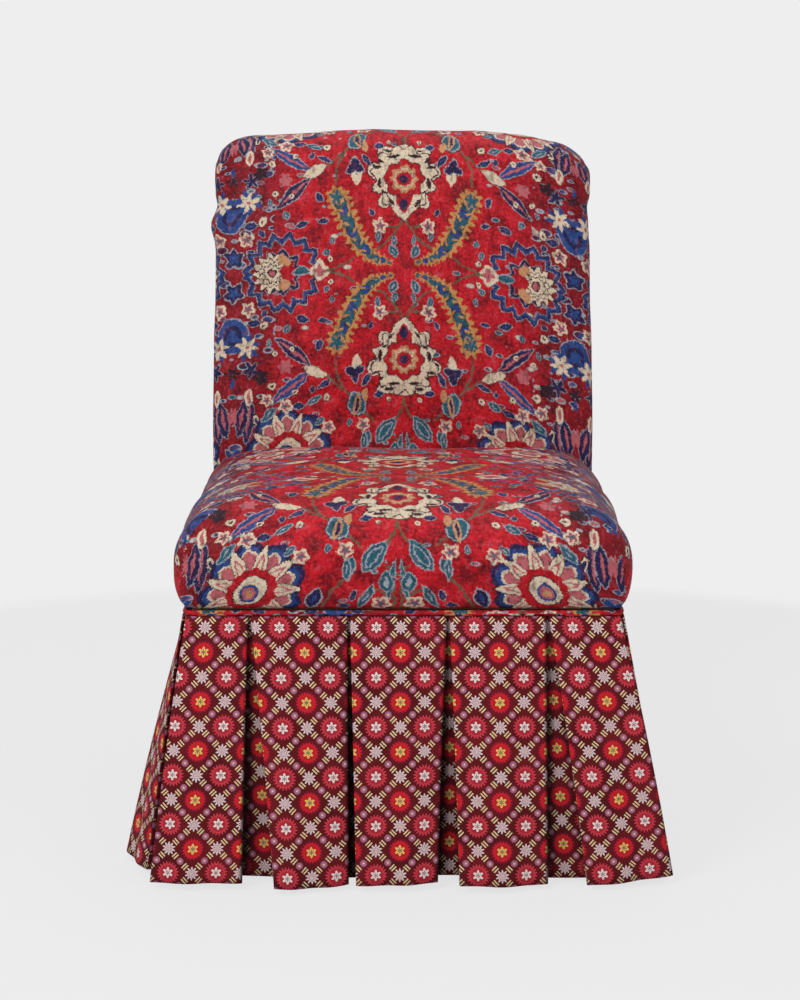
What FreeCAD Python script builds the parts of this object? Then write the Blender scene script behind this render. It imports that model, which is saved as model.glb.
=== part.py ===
"""Slipper chair: a low armless upholstered chair with a rolled back and a box-pleated skirt.

The chair stands on the floor at Z = 0 and faces -Y; X is its width. Lengths are millimetres.
A hardwood frame carries zigzag seat springs and back webbing, foam pads lie over them, and the
velvet covers, the welt cord and the pleated skirt close the outside.
"""
import FreeCAD, Part

import math
import os

import Sketcher

V = FreeCAD.Vector
doc = FreeCAD.newDocument("slipper_chair")
sheet = doc.addObject("Spreadsheet::Sheet", "Sizes")

# Driving sizes: alias, value, what it is
SIZES = [
    ("chair_height", 935, "floor to the top of the roll"),
    ("waist_width", 532, "width over the covers at the welt line"),
    ("seat_depth", 517, "front of the waist to the crevice between seat and back"),
    ("crevice_height", 473, "floor to the crevice"),
    ("crown_height", 488, "floor to the top of the seat's crown"),
    ("seat_bulge", 19, "how far the seat stands out over its waist"),
    ("seat_corner", 46, "plan radius of the seat's front corners at the bulge"),
    ("waist_corner", 3.5, "plan radius of the waist's corners"),
    ("back_width", 550, "width of the upholstered back"),
    ("back_padding", 46, "crevice to the front of the back posts"),
    ("back_bulge", 10, "how far the inside back bows forward"),
    ("side_rounding", 11, "rounding of the back's side edges"),
    ("recline", 8.5, "lean of the back from upright, degrees"),
    ("roll_radius", 67, "radius of the rolled top"),
    ("roll_crown", 6, "how much the roll's radius falls from its middle to its shoulders"),
    ("roll_shoulder", 50, "rounding of the roll's two ends"),
    ("neck_angle", 70, "where the roll meets the outside back, degrees below its rear"),
    ("cover_thickness", 2.5, "velvet with its backing"),
    ("fit_gap", 0.3, "clearance between pieces that touch in the real chair"),
    ("band_depth", 25, "how far the covers are pulled down over the rails"),
    ("welt_height", 347.5, "floor to the centre of the welt cord"),
    ("welt_radius", 3.5, "radius of the welt cord"),
    ("rail_drop", 2.5, "the rails' top edge below the centre of the welt cord"),
    ("rail_height", 85, "height of the seat rails"),
    ("rail_thickness", 25, "thickness of the rails"),
    ("leg_width", 45, "front leg, square at the top"),
    ("leg_foot", 32, "front leg, square at the floor"),
    ("post_thickness", 38, "rear post, width in X"),
    ("post_depth", 50, "rear post, depth in Y at the seat"),
    ("post_foot", 34, "rear post, depth in Y at the floor"),
    ("bend_height", 395, "floor to the bend of the rear posts"),
    ("stay_lift", 50, "seat rails' top to the lower edge of the stay rail"),
    ("stay_height", 40, "height of the stay rail at the crevice"),
    ("crest_height", 70, "height of the crest rail"),
    ("crest_drop", 10, "crest rail's top edge below the post tops"),
    ("roll_rail_radius", 30, "radius of the round rail inside the roll"),
    ("block_thickness", 22, "thickness of the diagonal corner blocks"),
    ("block_height", 50, "height of the corner blocks"),
    ("block_drop", 15, "corner block's top below the rail top"),
    ("screw_radius", 4, "corner screw shank"),
    ("screw_length", 55, "corner screw below its head"),
    ("screw_head_radius", 7.5, "corner screw head"),
    ("screw_head_height", 4, "corner screw head"),
    ("dowel_radius", 5, "joint dowels"),
    ("dowel_length", 44, "joint dowels"),
    ("dowel_spacing", 42, "between the two dowels of a seat rail joint"),
    ("short_dowel_spacing", 20, "between the two dowels of a back rail joint"),
    ("hole_gap", 0.05, "radial clearance of a dowel, screw or tack in its hole"),
    ("glide_height", 6, "glide under each leg"),
    ("glide_radius", 13, "glide under each leg"),
    ("glide_rim", 2, "rounded rim of the glide"),
    ("nail_radius", 1.6, "nail of a glide"),
    ("nail_length", 18, "nail of a glide above the glide's recess"),
    ("spring_wire", 1.9, "wire radius of the zigzag springs"),
    ("spring_reach", 22, "half width of a spring between the centres of its turns"),
    ("spring_crown", 20, "rise of the springs at their middle"),
    ("clip_width", 14, "spring clip, width in X"),
    ("clip_sheet", 1.2, "spring clip, sheet thickness"),
    ("clip_length", 15, "spring clip, length in Y"),
    ("strap_width", 50, "webbing strap"),
    ("strap_sheet", 1.5, "webbing strap thickness"),
    ("burlap_sheet", 1, "burlap thickness"),
    ("deck_margin", 3, "seat burlap's edge inside the frame's outer faces"),
    ("dust_sheet", 0.8, "dust cover thickness"),
    ("tack_radius", 0.9, "tack shank"),
    ("tack_length", 9, "tack shank"),
    ("tack_head", 3.5, "tack head radius"),
    ("skirt_cloth", 1.2, "lined skirt cloth thickness"),
    ("skirt_layer", 2, "step between the layers of a folded pleat"),
    ("hem_height", 9, "floor to the skirt's hem"),
    ("pleat_under", 38, "depth of cloth folded under on each side of a pleat"),
    ("front_pitch", 119.5, "between the pleats of the front and the rear"),
    ("side_pitch", 123, "between the pleats of the sides"),
    ("panel_bow", 6, "how far a panel bows out at the hem between its folds"),
    ("left_spread", 36, "how far the front's left edge moves outwards down to the hem"),
    ("right_spread", 60, "how far the front's right edge moves outwards down to the hem"),
    ("side_spread", 8, "how far the sides' front edges move forward down to the hem"),
    ("front_flare", 50, "how far the front hem swings out"),
    ("side_flare", 78, "how far the side hems swing out"),
    ("rear_flare", 36, "how far the rear hem swings out"),
    ("strip_height", 12, "cardboard tack strip behind the skirt's top edge"),
    ("strip_sheet", 1, "cardboard tack strip thickness"),
]
SPRINGS = 5
SPRING_TURNS = 21
UPRIGHT_STRAPS = 3
CROSS_STRAPS = 3
TACKS_PER_SIDE = 5

for row, (alias, value, note) in enumerate(SIZES, start=1):
    sheet.set(f"A{row}", note)
    sheet.set(f"B{row}", str(value))
    sheet.setAlias(f"B{row}", alias)
doc.recompute()


def number(expression):
    """The value of an expression of the sheet, in millimetres or degrees."""
    result = sheet.evalExpression(expression.replace("Sizes.", ""))
    return float(getattr(result, "Value", result))


def size(alias):
    return number(alias)


# Derived places, as expressions that the sketches and boxes bind to
LEAN = "tan(Sizes.recline * 1 deg)"
ROLL_Z = "(Sizes.chair_height - Sizes.roll_radius)"
ROLL_REACH = (f"(({ROLL_Z} - Sizes.crevice_height) * {LEAN}"
              " + Sizes.roll_radius / cos(Sizes.recline * 1 deg))")
TOTAL_DEPTH = f"(Sizes.front_flare + Sizes.seat_depth + {ROLL_REACH} + Sizes.roll_radius)"
FRONT_Y = f"(Sizes.front_flare - {TOTAL_DEPTH} / 2)"
CREVICE_Y = f"({FRONT_Y} + Sizes.seat_depth)"
ROLL_Y = f"({CREVICE_Y} + {ROLL_REACH})"
COVER_STEP = "(Sizes.cover_thickness + Sizes.fit_gap)"
FRAME_HALF = f"(Sizes.waist_width / 2 - {COVER_STEP})"
FRAME_FRONT = f"({FRONT_Y} + {COVER_STEP})"
POST_FRONT = f"({CREVICE_Y} + Sizes.back_padding)"
POST_REAR = f"({POST_FRONT} + Sizes.post_depth)"
REAR_Y = f"({POST_REAR} + {COVER_STEP})"
POST_TOP = f"({ROLL_Z} - Sizes.roll_rail_radius)"
NECK_Y = f"({ROLL_Y} + Sizes.roll_radius * cos(Sizes.neck_angle * 1 deg))"
NECK_Z = f"({ROLL_Z} - Sizes.roll_radius * sin(Sizes.neck_angle * 1 deg))"
REAR_SLOPE = f"(({NECK_Y} - {REAR_Y}) / ({NECK_Z} - Sizes.bend_height))"
RAIL_TOP = "(Sizes.welt_height - Sizes.rail_drop)"
RAIL_BOTTOM = f"({RAIL_TOP} - Sizes.rail_height)"
LEDGE_Z = "(Sizes.welt_height + Sizes.welt_radius + Sizes.fit_gap)"
BAND_BOTTOM = "(Sizes.welt_height - Sizes.band_depth)"
SPRING_Z = f"({RAIL_TOP} + 2 * Sizes.fit_gap + Sizes.clip_sheet + Sizes.spring_wire)"
SKIRT_TOP = "(Sizes.welt_height - Sizes.welt_radius - Sizes.fit_gap)"
SKIRT_BASE = "(Sizes.strip_sheet + 2 * Sizes.fit_gap + Sizes.skirt_cloth / 2)"

finished = []


def finish(item, name):
    """Registers a finished sub-part under its node name."""
    item.Label = name
    finished.append(item)
    return item


def bind(item, **expressions):
    for key, expression in expressions.items():
        item.setExpression(key.replace("__", "."), expression)
    return item


def box(name, corner, lengths):
    """A Part::Box bound to the sheet: corner and lengths are expressions in X, Y, Z order."""
    item = doc.addObject("Part::Box", name)
    bind(item, Length=lengths[0], Width=lengths[1], Height=lengths[2])
    for axis, expression in zip("xyz", corner):
        item.setExpression(f"Placement.Base.{axis}", expression)
    return item


def cylinder(name, centre, axis, radius, length, lift="0"):
    """A Part::Cylinder along axis, whose middle stands at centre, moved by lift along the axis."""
    item = doc.addObject("Part::Cylinder", name)
    bind(item, Radius=radius, Height=length)
    turn = FreeCAD.Rotation(V(0, 0, 1), V(*axis))
    item.Placement = FreeCAD.Placement(V(0, 0, 0), turn)
    norm = math.sqrt(sum(part * part for part in axis))
    for letter, place, part in zip("xyz", centre, axis):
        shift = f"{place} + {part / norm} * ({lift} - ({length}) / 2)"
        item.setExpression(f"Placement.Base.{letter}", shift)
    return item


def outline_body(name, plane, points, length, midplane=True):
    """A body padded from a closed sketch whose corners are pairs of expressions."""
    body = doc.addObject("PartDesign::Body", name)
    sketch = body.newObject("Sketcher::SketchObject", name + "_sketch")
    plane_role = [f for f in body.Origin.OriginFeatures if f.Role == plane][0]
    sketch.AttachmentSupport = [(plane_role, "")]
    sketch.MapMode = "FlatFace"
    corners = [V(number(a), number(b), 0) for a, b in points]
    for index, corner in enumerate(corners):
        sketch.addGeometry(Part.LineSegment(corner, corners[(index + 1) % len(corners)]), False)
    for index in range(len(corners)):
        sketch.addConstraint(
            Sketcher.Constraint("Coincident", index, 2, (index + 1) % len(corners), 1))
    for index, (corner, pair) in enumerate(zip(corners, points)):
        for kind, value, expression in zip(("DistanceX", "DistanceY"), corner, pair):
            place = sketch.addConstraint(Sketcher.Constraint(kind, -1, 1, index, 1, value))
            sketch.setExpression(f"Constraints[{place}]", expression)
    pad = body.newObject("PartDesign::Pad", name + "_pad")
    pad.Profile = sketch
    pad.setExpression("Length", length)
    pad.Midplane = midplane
    return body


def moved(item, **places):
    for axis, expression in places.items():
        item.setExpression(f"Placement.Base.{axis}", expression)
    return item


def compound(name, members):
    item = doc.addObject("Part::Compound", name)
    item.Links = members
    return item


def cut(name, base, tool):
    item = doc.addObject("Part::Cut", name)
    item.Base = base
    item.Tool = tool
    return item


def solid_feature(name, shape):
    item = doc.addObject("Part::Feature", name)
    item.Shape = shape
    return item


# Fasteners and their holes
def fasteners():
    """Dowels, corner screws, glide nails and dust cover tacks, each with its hole."""
    pieces = {"rail_dowels": [], "corner_screws": [], "glide_nails": [], "dust_cover_tacks": []}
    holes = []

    def peg(group, centre, axis, radius, length, lift="0", end_gap="2 * Sizes.fit_gap"):
        count = len(holes)
        peg_item = cylinder(f"peg_{count}", centre, axis, radius, length, lift)
        pieces[group].append(peg_item)
        holes.append(cylinder(f"hole_{count}", centre, axis, f"{radius} + Sizes.hole_gap",
                              f"{length} + {end_gap}", lift))
        return peg_item

    def dowel(centre, axis):
        peg("rail_dowels", centre, axis, "Sizes.dowel_radius", "Sizes.dowel_length")

    rail_middle = f"({RAIL_BOTTOM} + Sizes.rail_height / 2)"
    half_rail = "Sizes.rail_thickness / 2"
    for side in (-1, 1):
        for step in (-0.5, 0.5):
            height = f"({rail_middle} + {step} * Sizes.dowel_spacing)"
            inner = f"({side} * ({FRAME_HALF} - Sizes.leg_width))"
            dowel((inner, f"({FRAME_FRONT} + {half_rail})", height), (1, 0, 0))
            outer = f"({side} * ({FRAME_HALF} - {half_rail}))"
            offset = f"({height} + Sizes.dowel_radius * 2.2)"
            dowel((outer, f"({FRAME_FRONT} + Sizes.leg_width)", offset), (0, 1, 0))
            dowel((outer, POST_FRONT, offset), (0, 1, 0))
            post_inner = f"({side} * ({FRAME_HALF} - Sizes.post_thickness))"
            dowel((post_inner, f"({POST_REAR} - {half_rail})", height), (1, 0, 0))
            for along in (STAY_MIDDLE, CREST_MIDDLE):
                reach = f"({along} + {step} * Sizes.short_dowel_spacing)"
                depth = (f"({POST_FRONT} + {half_rail} * cos(Sizes.recline * 1 deg)"
                         f" + {reach} * sin(Sizes.recline * 1 deg))")
                level = (f"(Sizes.bend_height - {half_rail} * sin(Sizes.recline * 1 deg)"
                         f" + {reach} * cos(Sizes.recline * 1 deg))")
                dowel((post_inner, depth, level), (1, 0, 0))
        dowel((f"({side} * ({FRAME_HALF} - Sizes.post_thickness / 2))", ROLL_Y, POST_TOP), (0, 0, 1))
    return pieces, holes, peg


STAY_BASE = f"(({RAIL_TOP} + Sizes.stay_lift - Sizes.bend_height) / cos(Sizes.recline * 1 deg))"
STAY_LOW = f"({STAY_BASE} + Sizes.fit_gap)"
STAY_MIDDLE = f"({STAY_LOW} + Sizes.stay_height / 2)"
POST_RUN = f"(({POST_TOP} - Sizes.bend_height) / cos(Sizes.recline * 1 deg))"
CREST_MIDDLE = f"({POST_RUN} - Sizes.crest_drop - Sizes.crest_height / 2)"
groups, hole_list, add_peg = fasteners()


def corner_places():
    """For each corner of the seat frame: name, signs in X and Y, corner of the rails' inner faces
    and how far the leg or post stands out of it along the two rails together."""
    inner_x = f"({FRAME_HALF} - Sizes.rail_thickness)"
    front_y = f"({FRAME_FRONT} + Sizes.rail_thickness)"
    rear_y = f"({POST_REAR} - Sizes.rail_thickness)"
    front_reach = "(2 * (Sizes.leg_width - Sizes.rail_thickness) + Sizes.fit_gap)"
    rear_reach = ("(Sizes.post_thickness + Sizes.post_depth"
                  " - 2 * Sizes.rail_thickness + Sizes.fit_gap)")
    for side, hand in ((-1, "left"), (1, "right")):
        yield f"front_{hand}", side, 1, f"({side} * {inner_x})", front_y, front_reach
        yield f"rear_{hand}", side, -1, f"({side} * {inner_x})", rear_y, rear_reach


BLOCK_TOP = f"({RAIL_TOP} - Sizes.block_drop)"
blocks = []
for place, side, ahead, corner_x, corner_y, reach in corner_places():
    far = f"({reach} + Sizes.block_thickness * sqrt(2))"
    ends = [(f"{corner_x} - {side} * {reach}", corner_y), (corner_x, f"{corner_y} + {ahead} * {reach}"),
            (corner_x, f"{corner_y} + {ahead} * {far}"), (f"{corner_x} - {side} * {far}", corner_y)]
    block = outline_body(f"block_{place}", "XY_Plane", ends, "Sizes.block_height")
    block.setExpression("Placement.Base.z", f"{BLOCK_TOP} - Sizes.block_height / 2")
    blocks.append((place, block))
    diagonal = (side, -ahead, 0)
    middle = (f"({corner_x} - {side} * {far} / 2)", f"({corner_y} + {ahead} * {far} / 2)",
              f"({BLOCK_TOP} - Sizes.block_height / 2)")
    shank = add_peg("corner_screws", middle, diagonal, "Sizes.screw_radius", "Sizes.screw_length",
                    "Sizes.screw_length / 2")
    head = cylinder(f"head_{place}", middle, diagonal, "Sizes.screw_head_radius",
                    "Sizes.screw_head_height", "-Sizes.screw_head_height / 2")
    groups["corner_screws"].remove(shank)
    screw = doc.addObject("Part::Fuse", f"screw_{place}")
    screw.Base = shank
    screw.Tool = head
    groups["corner_screws"].append(screw)

# Glides and their nails
foot_places = []
for hand, side in (("left", -1), ("right", 1)):
    front_x = f"({side} * ({FRAME_HALF} - Sizes.leg_width / 2))"
    foot_places.append((f"glide_front_{hand}", front_x, f"({FRAME_FRONT} + Sizes.leg_width / 2)"))
    rear_x = f"({side} * ({FRAME_HALF} - Sizes.post_thickness / 2))"
    foot_places.append((f"glide_rear_{hand}", rear_x, f"({POST_REAR} - Sizes.post_foot / 2)"))
NAIL_HEAD = "(Sizes.nail_radius * 2)"
NAIL_RECESS = "(Sizes.glide_height / 2)"
for name, foot_x, foot_y in foot_places:
    glide = doc.addObject("PartDesign::Body", name)
    section = glide.newObject("Sketcher::SketchObject", name + "_section")
    section.AttachmentSupport = [
        ([f for f in glide.Origin.OriginFeatures if f.Role == "XZ_Plane"][0], "")]
    section.MapMode = "FlatFace"
    rim = "(Sizes.glide_radius - Sizes.glide_rim)"
    bore = "(Sizes.nail_radius + Sizes.hole_gap)"
    recess = f"({NAIL_HEAD} + Sizes.hole_gap)"
    steps = [(recess, "0"), (rim, "0"), ("Sizes.glide_radius", "Sizes.glide_rim"),
             ("Sizes.glide_radius", "Sizes.glide_height"), (bore, "Sizes.glide_height"),
             (bore, NAIL_RECESS), (recess, NAIL_RECESS)]
    corners = [V(number(a), number(b), 0) for a, b in steps]
    for index, corner in enumerate(corners):
        section.addGeometry(Part.LineSegment(corner, corners[(index + 1) % len(corners)]), False)
    for index in range(len(corners)):
        section.addConstraint(
            Sketcher.Constraint("Coincident", index, 2, (index + 1) % len(corners), 1))
    for index, (corner, pair) in enumerate(zip(corners, steps)):
        for kind, value, expression in zip(("DistanceX", "DistanceY"), corner, pair):
            place = section.addConstraint(Sketcher.Constraint(kind, -1, 1, index, 1, value))
            section.setExpression(f"Constraints[{place}]", expression)
    turning = glide.newObject("PartDesign::Revolution", name + "_turned")
    turning.Profile = section
    turning.ReferenceAxis = (section, ["V_Axis"])
    turning.Angle = 360
    moved(glide, x=foot_x, y=foot_y)
    finish(glide, name)
    nail = add_peg("glide_nails", (foot_x, foot_y, NAIL_RECESS), (0, 0, 1), "Sizes.nail_radius",
                   "Sizes.nail_length", "Sizes.nail_length / 2")
    nail_head = cylinder(name + "_nail_head", (foot_x, foot_y, NAIL_RECESS), (0, 0, 1), NAIL_HEAD,
                         "Sizes.nail_radius", "-Sizes.nail_radius / 2")
    groups["glide_nails"].remove(nail)
    nailed = doc.addObject("Part::Fuse", name + "_nail")
    nailed.Base = nail
    nailed.Tool = nail_head
    groups["glide_nails"].append(nailed)

# Dust cover tacks, along the middle of each rail
dust_top = f"({RAIL_BOTTOM} - Sizes.fit_gap)"
tack_seat = f"({dust_top} - Sizes.dust_sheet)"
side_run = f"({POST_FRONT} - {FRAME_FRONT} - Sizes.leg_width)"
cross_run = f"(2 * ({FRAME_HALF} - Sizes.leg_width))"
for number_along in range(TACKS_PER_SIDE):
    share = (number_along + 0.5) / TACKS_PER_SIDE
    along_y = f"({FRAME_FRONT} + Sizes.leg_width + {share} * {side_run})"
    along_x = f"({cross_run} * {share - 0.5})"
    for tack_x, tack_y in (
            (f"({FRAME_HALF} - Sizes.rail_thickness / 2)", along_y),
            (f"(Sizes.rail_thickness / 2 - {FRAME_HALF})", along_y),
            (along_x, f"({FRAME_FRONT} + Sizes.rail_thickness / 2)"),
            (along_x, f"({POST_REAR} - Sizes.rail_thickness / 2)")):
        shank = add_peg("dust_cover_tacks", (tack_x, tack_y, tack_seat), (0, 0, 1), "Sizes.tack_radius",
                        "Sizes.tack_length", "Sizes.tack_length / 2")
        head = cylinder(f"tack_head_{len(hole_list)}", (tack_x, tack_y, tack_seat), (0, 0, 1),
                        "Sizes.tack_head", "Sizes.tack_radius",
                        "-Sizes.tack_radius / 2 - Sizes.fit_gap / 2")
        groups["dust_cover_tacks"].remove(shank)
        tack = doc.addObject("Part::Fuse", f"tack_{len(hole_list)}")
        tack.Base = shank
        tack.Tool = head
        groups["dust_cover_tacks"].append(tack)
holes = compound("fastener_holes", hole_list)
for name, members in groups.items():
    finish(compound(name + "_group", members), name)


def drilled(name, blank):
    """The blank with every fastener hole that meets it, finished under its node name."""
    return finish(cut(name + "_drilled", blank, holes), name)


# Hardwood frame
def front_leg(name, side):
    """A square leg, straight beside the rails and tapered below them on its two inner faces."""
    outer = f"({side} * {FRAME_HALF})"
    inner = f"({side} * ({FRAME_HALF} - Sizes.leg_width))"
    foot = f"({side} * ({FRAME_HALF} - (Sizes.leg_width + Sizes.leg_foot) / 2))"
    foot_out = f"({side} * ({FRAME_HALF} - (Sizes.leg_width - Sizes.leg_foot) / 2))"
    face = [(foot_out, "Sizes.glide_height"), (outer, RAIL_BOTTOM), (outer, RAIL_TOP),
            (inner, RAIL_TOP), (inner, RAIL_BOTTOM), (foot, "Sizes.glide_height")]
    body = outline_body(name + "_blank", "XZ_Plane", face, "Sizes.leg_width")
    moved(body, y=f"{FRAME_FRONT} + Sizes.leg_width / 2")
    return drilled(name, body)


def rear_post(name, side):
    """Rear leg and back post cut from one board, with a bend above the seat rail."""
    top_y = f"({POST_FRONT} + ({POST_TOP} - Sizes.bend_height) * {LEAN})"
    rear_top = f"({POST_REAR} + ({POST_TOP} - Sizes.bend_height) * {REAR_SLOPE})"
    side_view = [(f"{POST_REAR} - Sizes.post_foot", "Sizes.glide_height"),
                 (POST_REAR, "Sizes.glide_height"), (POST_REAR, "Sizes.bend_height"),
                 (rear_top, POST_TOP), (top_y, POST_TOP),
                 (POST_FRONT, "Sizes.bend_height"), (POST_FRONT, RAIL_BOTTOM)]
    body = outline_body(name + "_blank", "YZ_Plane", side_view, "Sizes.post_thickness")
    moved(body, x=f"{side} * ({FRAME_HALF} - Sizes.post_thickness / 2)")
    return drilled(name, body)


for hand, side in (("left", -1), ("right", 1)):
    front_leg(f"front_leg_{hand}", side)
    rear_post(f"rear_post_{hand}", side)
    rail_x = f"{FRAME_HALF} - Sizes.rail_thickness" if side > 0 else f"-{FRAME_HALF}"
    rail = box(f"side_rail_{hand}_blank", (rail_x, f"{FRAME_FRONT} + Sizes.leg_width", RAIL_BOTTOM),
               ("Sizes.rail_thickness", side_run, "Sizes.rail_height"))
    drilled(f"side_rail_{hand}", rail)
front_rail = box("front_rail_blank", (f"-{cross_run} / 2", FRAME_FRONT, RAIL_BOTTOM),
                 (cross_run, "Sizes.rail_thickness", "Sizes.rail_height"))
drilled("front_rail", front_rail)
between_posts = f"(2 * ({FRAME_HALF} - Sizes.post_thickness))"
back_rail = box("back_rail_blank",
                (f"-{between_posts} / 2", f"{POST_REAR} - Sizes.rail_thickness", RAIL_BOTTOM),
                (between_posts, "Sizes.rail_thickness", "Sizes.rail_height"))
drilled("back_rail", back_rail)


def leaning_box(name, left, out, along, lengths):
    """A box in the plane of the posts' leaning front edge. out is its distance behind that plane,
    along its distance up it from the bend, and lengths are its X, depth and height."""
    item = doc.addObject("Part::Box", name)
    bind(item, Length=lengths[0], Width=lengths[1], Height=lengths[2])
    item.Placement = FreeCAD.Placement(V(0, 0, 0), FreeCAD.Rotation(V(1, 0, 0), -size("recline")))
    item.setExpression("Placement.Base.x", left)
    item.setExpression("Placement.Base.y", f"{POST_FRONT} + ({out}) * cos(Sizes.recline * 1 deg)"
                                           f" + ({along}) * sin(Sizes.recline * 1 deg)")
    item.setExpression("Placement.Base.z",
                       f"Sizes.bend_height - ({out}) * sin(Sizes.recline * 1 deg)"
                       f" + ({along}) * cos(Sizes.recline * 1 deg)")
    return item


stay = leaning_box("stay_rail_blank", f"-{between_posts} / 2", "0", STAY_LOW,
                   (between_posts, "Sizes.rail_thickness", "Sizes.stay_height"))
drilled("stay_rail", stay)
crest = leaning_box("crest_rail_blank", f"-{between_posts} / 2", "0",
                    f"{CREST_MIDDLE} - Sizes.crest_height / 2",
                    (between_posts, "Sizes.rail_thickness", "Sizes.crest_height"))
drilled("crest_rail", crest)
roll_blank = cylinder("roll_rail_blank", ("0", ROLL_Y, ROLL_Z), (1, 0, 0), "Sizes.roll_rail_radius",
                      f"2 * {FRAME_HALF}")
drilled("roll_rail", roll_blank)
for place, block in blocks:
    drilled(f"corner_block_{place}", block)

# Seat springs, clips and burlap
CLIP_OUT = "(Sizes.clip_sheet + Sizes.fit_gap)"
SPRING_FRONT = f"({FRAME_FRONT} + Sizes.rail_thickness - Sizes.spring_wire)"
SPRING_REAR = f"({POST_REAR} - Sizes.rail_thickness + Sizes.spring_wire)"


def spring_height(y):
    """Height of a spring's centre line over the seat, an arch between the two rails."""
    start, end = number(SPRING_FRONT), number(SPRING_REAR)
    share = (y - start) / (end - start)
    return number(SPRING_Z) + size("spring_crown") * 4 * share * (1 - share)


def zigzag_spring(centre_x):
    """Straight bars joined by half turns, alternately at the left and at the right."""
    start, end = number(SPRING_FRONT), number(SPRING_REAR)
    reach = size("spring_reach")
    step = (end - start) / SPRING_TURNS
    turn = step / 2
    edges = []
    for bar in range(SPRING_TURNS + 1):
        y = start + bar * step
        side = 1 if bar % 2 == 0 else -1
        z = spring_height(y)
        first, last = V(centre_x - side * reach, y, z), V(centre_x + side * reach, y, z)
        edges.append(Part.LineSegment(first, last).toShape())
        if bar < SPRING_TURNS:
            middle_y = y + turn
            tip = V(last.x + side * turn, middle_y, spring_height(middle_y))
            following = V(last.x, y + step, spring_height(y + step))
            edges.append(Part.Arc(last, tip, following).toShape())
    spine = Part.Wire(edges)
    start_bar = edges[0]
    circle = Part.Wire(Part.makeCircle(size("spring_wire"),
                                       start_bar.valueAt(start_bar.FirstParameter),
                                       start_bar.tangentAt(start_bar.FirstParameter)))
    return spine.makePipeShell([circle], True, False)


spring_gap = number(between_posts) / SPRINGS
spring_centres = [(index - (SPRINGS - 1) / 2) * spring_gap for index in range(SPRINGS)]
for index, centre in enumerate(spring_centres, start=1):
    finish(solid_feature(f"spring_{index}", zigzag_spring(centre)), f"seat_spring_{index}")


def spring_clip(centre_x, wire_y, inward):
    """A clip of folded sheet: it lies on the rail, turns up outside the wire and covers it."""
    sheet_t, gap = size("clip_sheet"), size("fit_gap")
    low = number(RAIL_TOP) + gap
    wire = size("spring_wire")
    top = low + sheet_t + 2 * wire + 2 * gap
    outer = wire_y - inward * (wire + gap + sheet_t)
    tip = wire_y + inward * (wire - gap)
    inner = outer + inward * sheet_t
    corners = [(tip, low), (outer, low), (outer, top + sheet_t), (tip, top + sheet_t), (tip, top),
               (inner, top), (inner, low + sheet_t), (tip, low + sheet_t)]
    points = [V(centre_x - size("clip_width") / 2, y, z) for y, z in corners]
    face = Part.Face(Part.makePolygon(points + points[:1]))
    return face.extrude(V(size("clip_width"), 0, 0))


clips = []
for centre in spring_centres:
    clips.append(spring_clip(centre, number(SPRING_FRONT), 1))
    clips.append(spring_clip(centre, number(SPRING_REAR), -1))
finish(solid_feature("clips", Part.makeCompound(clips)), "spring_clips")


def arched_slab(lift, thickness, half_width, front, rear):
    """A slab that follows the springs' arch, from lift above their centre lines."""
    def wave(height):
        places = [front + (rear - front) * share for share in (0, 0.5, 1)]
        return Part.Arc(*(V(-half_width, y, spring_height(y) + height) for y in places)).toShape()
    under, over = wave(lift), wave(lift + thickness)
    ends = [Part.makeLine(under.Vertexes[end].Point, over.Vertexes[end].Point) for end in (-1, 0)]
    face = Part.Face(Part.Wire(Part.__sortEdges__([under, over] + ends)))
    return face.extrude(V(2 * half_width, 0, 0))


clip_top = size("spring_wire") + size("clip_sheet") + 4 * size("fit_gap")
edge = size("deck_margin")
deck_front = number(FRAME_FRONT) + edge
wide_burlap = arched_slab(clip_top, size("burlap_sheet"), number(FRAME_HALF) - edge, deck_front,
                          number(POST_FRONT) - edge)
tongue = arched_slab(clip_top, size("burlap_sheet"), number(between_posts) / 2 - edge,
                     number(POST_FRONT) - 2 * edge, number(POST_REAR) - edge)
finish(solid_feature("deck", wide_burlap.fuse(tongue).removeSplitter()), "seat_burlap")


# Seat pad and seat cover
def rounded_plan(half, front, rear, front_corner, rear_corner, z):
    """A closed plan wire at height z: a rectangle with rounded corners, from lines and arcs."""
    def corner(x_sign, y_sign, radius):
        edge_y = front if y_sign < 0 else rear
        centre = V(x_sign * (half - radius), edge_y - y_sign * radius, z)
        along_x = centre + V(0, y_sign * radius, 0)
        along_y = centre + V(x_sign * radius, 0, 0)
        turned = centre + V(x_sign * radius, y_sign * radius, 0) * math.sqrt(0.5)
        turned.z = z
        return along_x, turned, along_y
    fr, fr_mid, fr_end = corner(1, -1, front_corner)
    rr_end, rr_mid, rr = corner(1, 1, rear_corner)
    rl, rl_mid, rl_end = corner(-1, 1, rear_corner)
    fl_end, fl_mid, fl = corner(-1, -1, front_corner)
    edges = [Part.makeLine(fl_end, fr), Part.Arc(fr, fr_mid, fr_end).toShape(),
             Part.makeLine(fr_end, rr), Part.Arc(rr, rr_mid, rr_end).toShape(),
             Part.makeLine(rr_end, rl), Part.Arc(rl, rl_mid, rl_end).toShape(),
             Part.makeLine(rl_end, fl), Part.Arc(fl, fl_mid, fl_end).toShape()]
    return Part.Wire(edges)


# Seat outline above the ledge: share of the height to the crown, and how far the outline stands
# out over the waist, as a share of the bulge (positive) or of the seat's half width (negative)
SEAT_STATIONS = [(0.0, 0.0), (0.09, 0.48), (0.22, 0.85), (0.38, 1.0), (0.54, 0.9), (0.67, 0.5),
                 (0.78, -0.02), (0.86, -0.08), (0.92, -0.16), (0.96, -0.27), (0.99, -0.42), (1.0, -0.6)]
REAR_SHARE = 0.45


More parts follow.
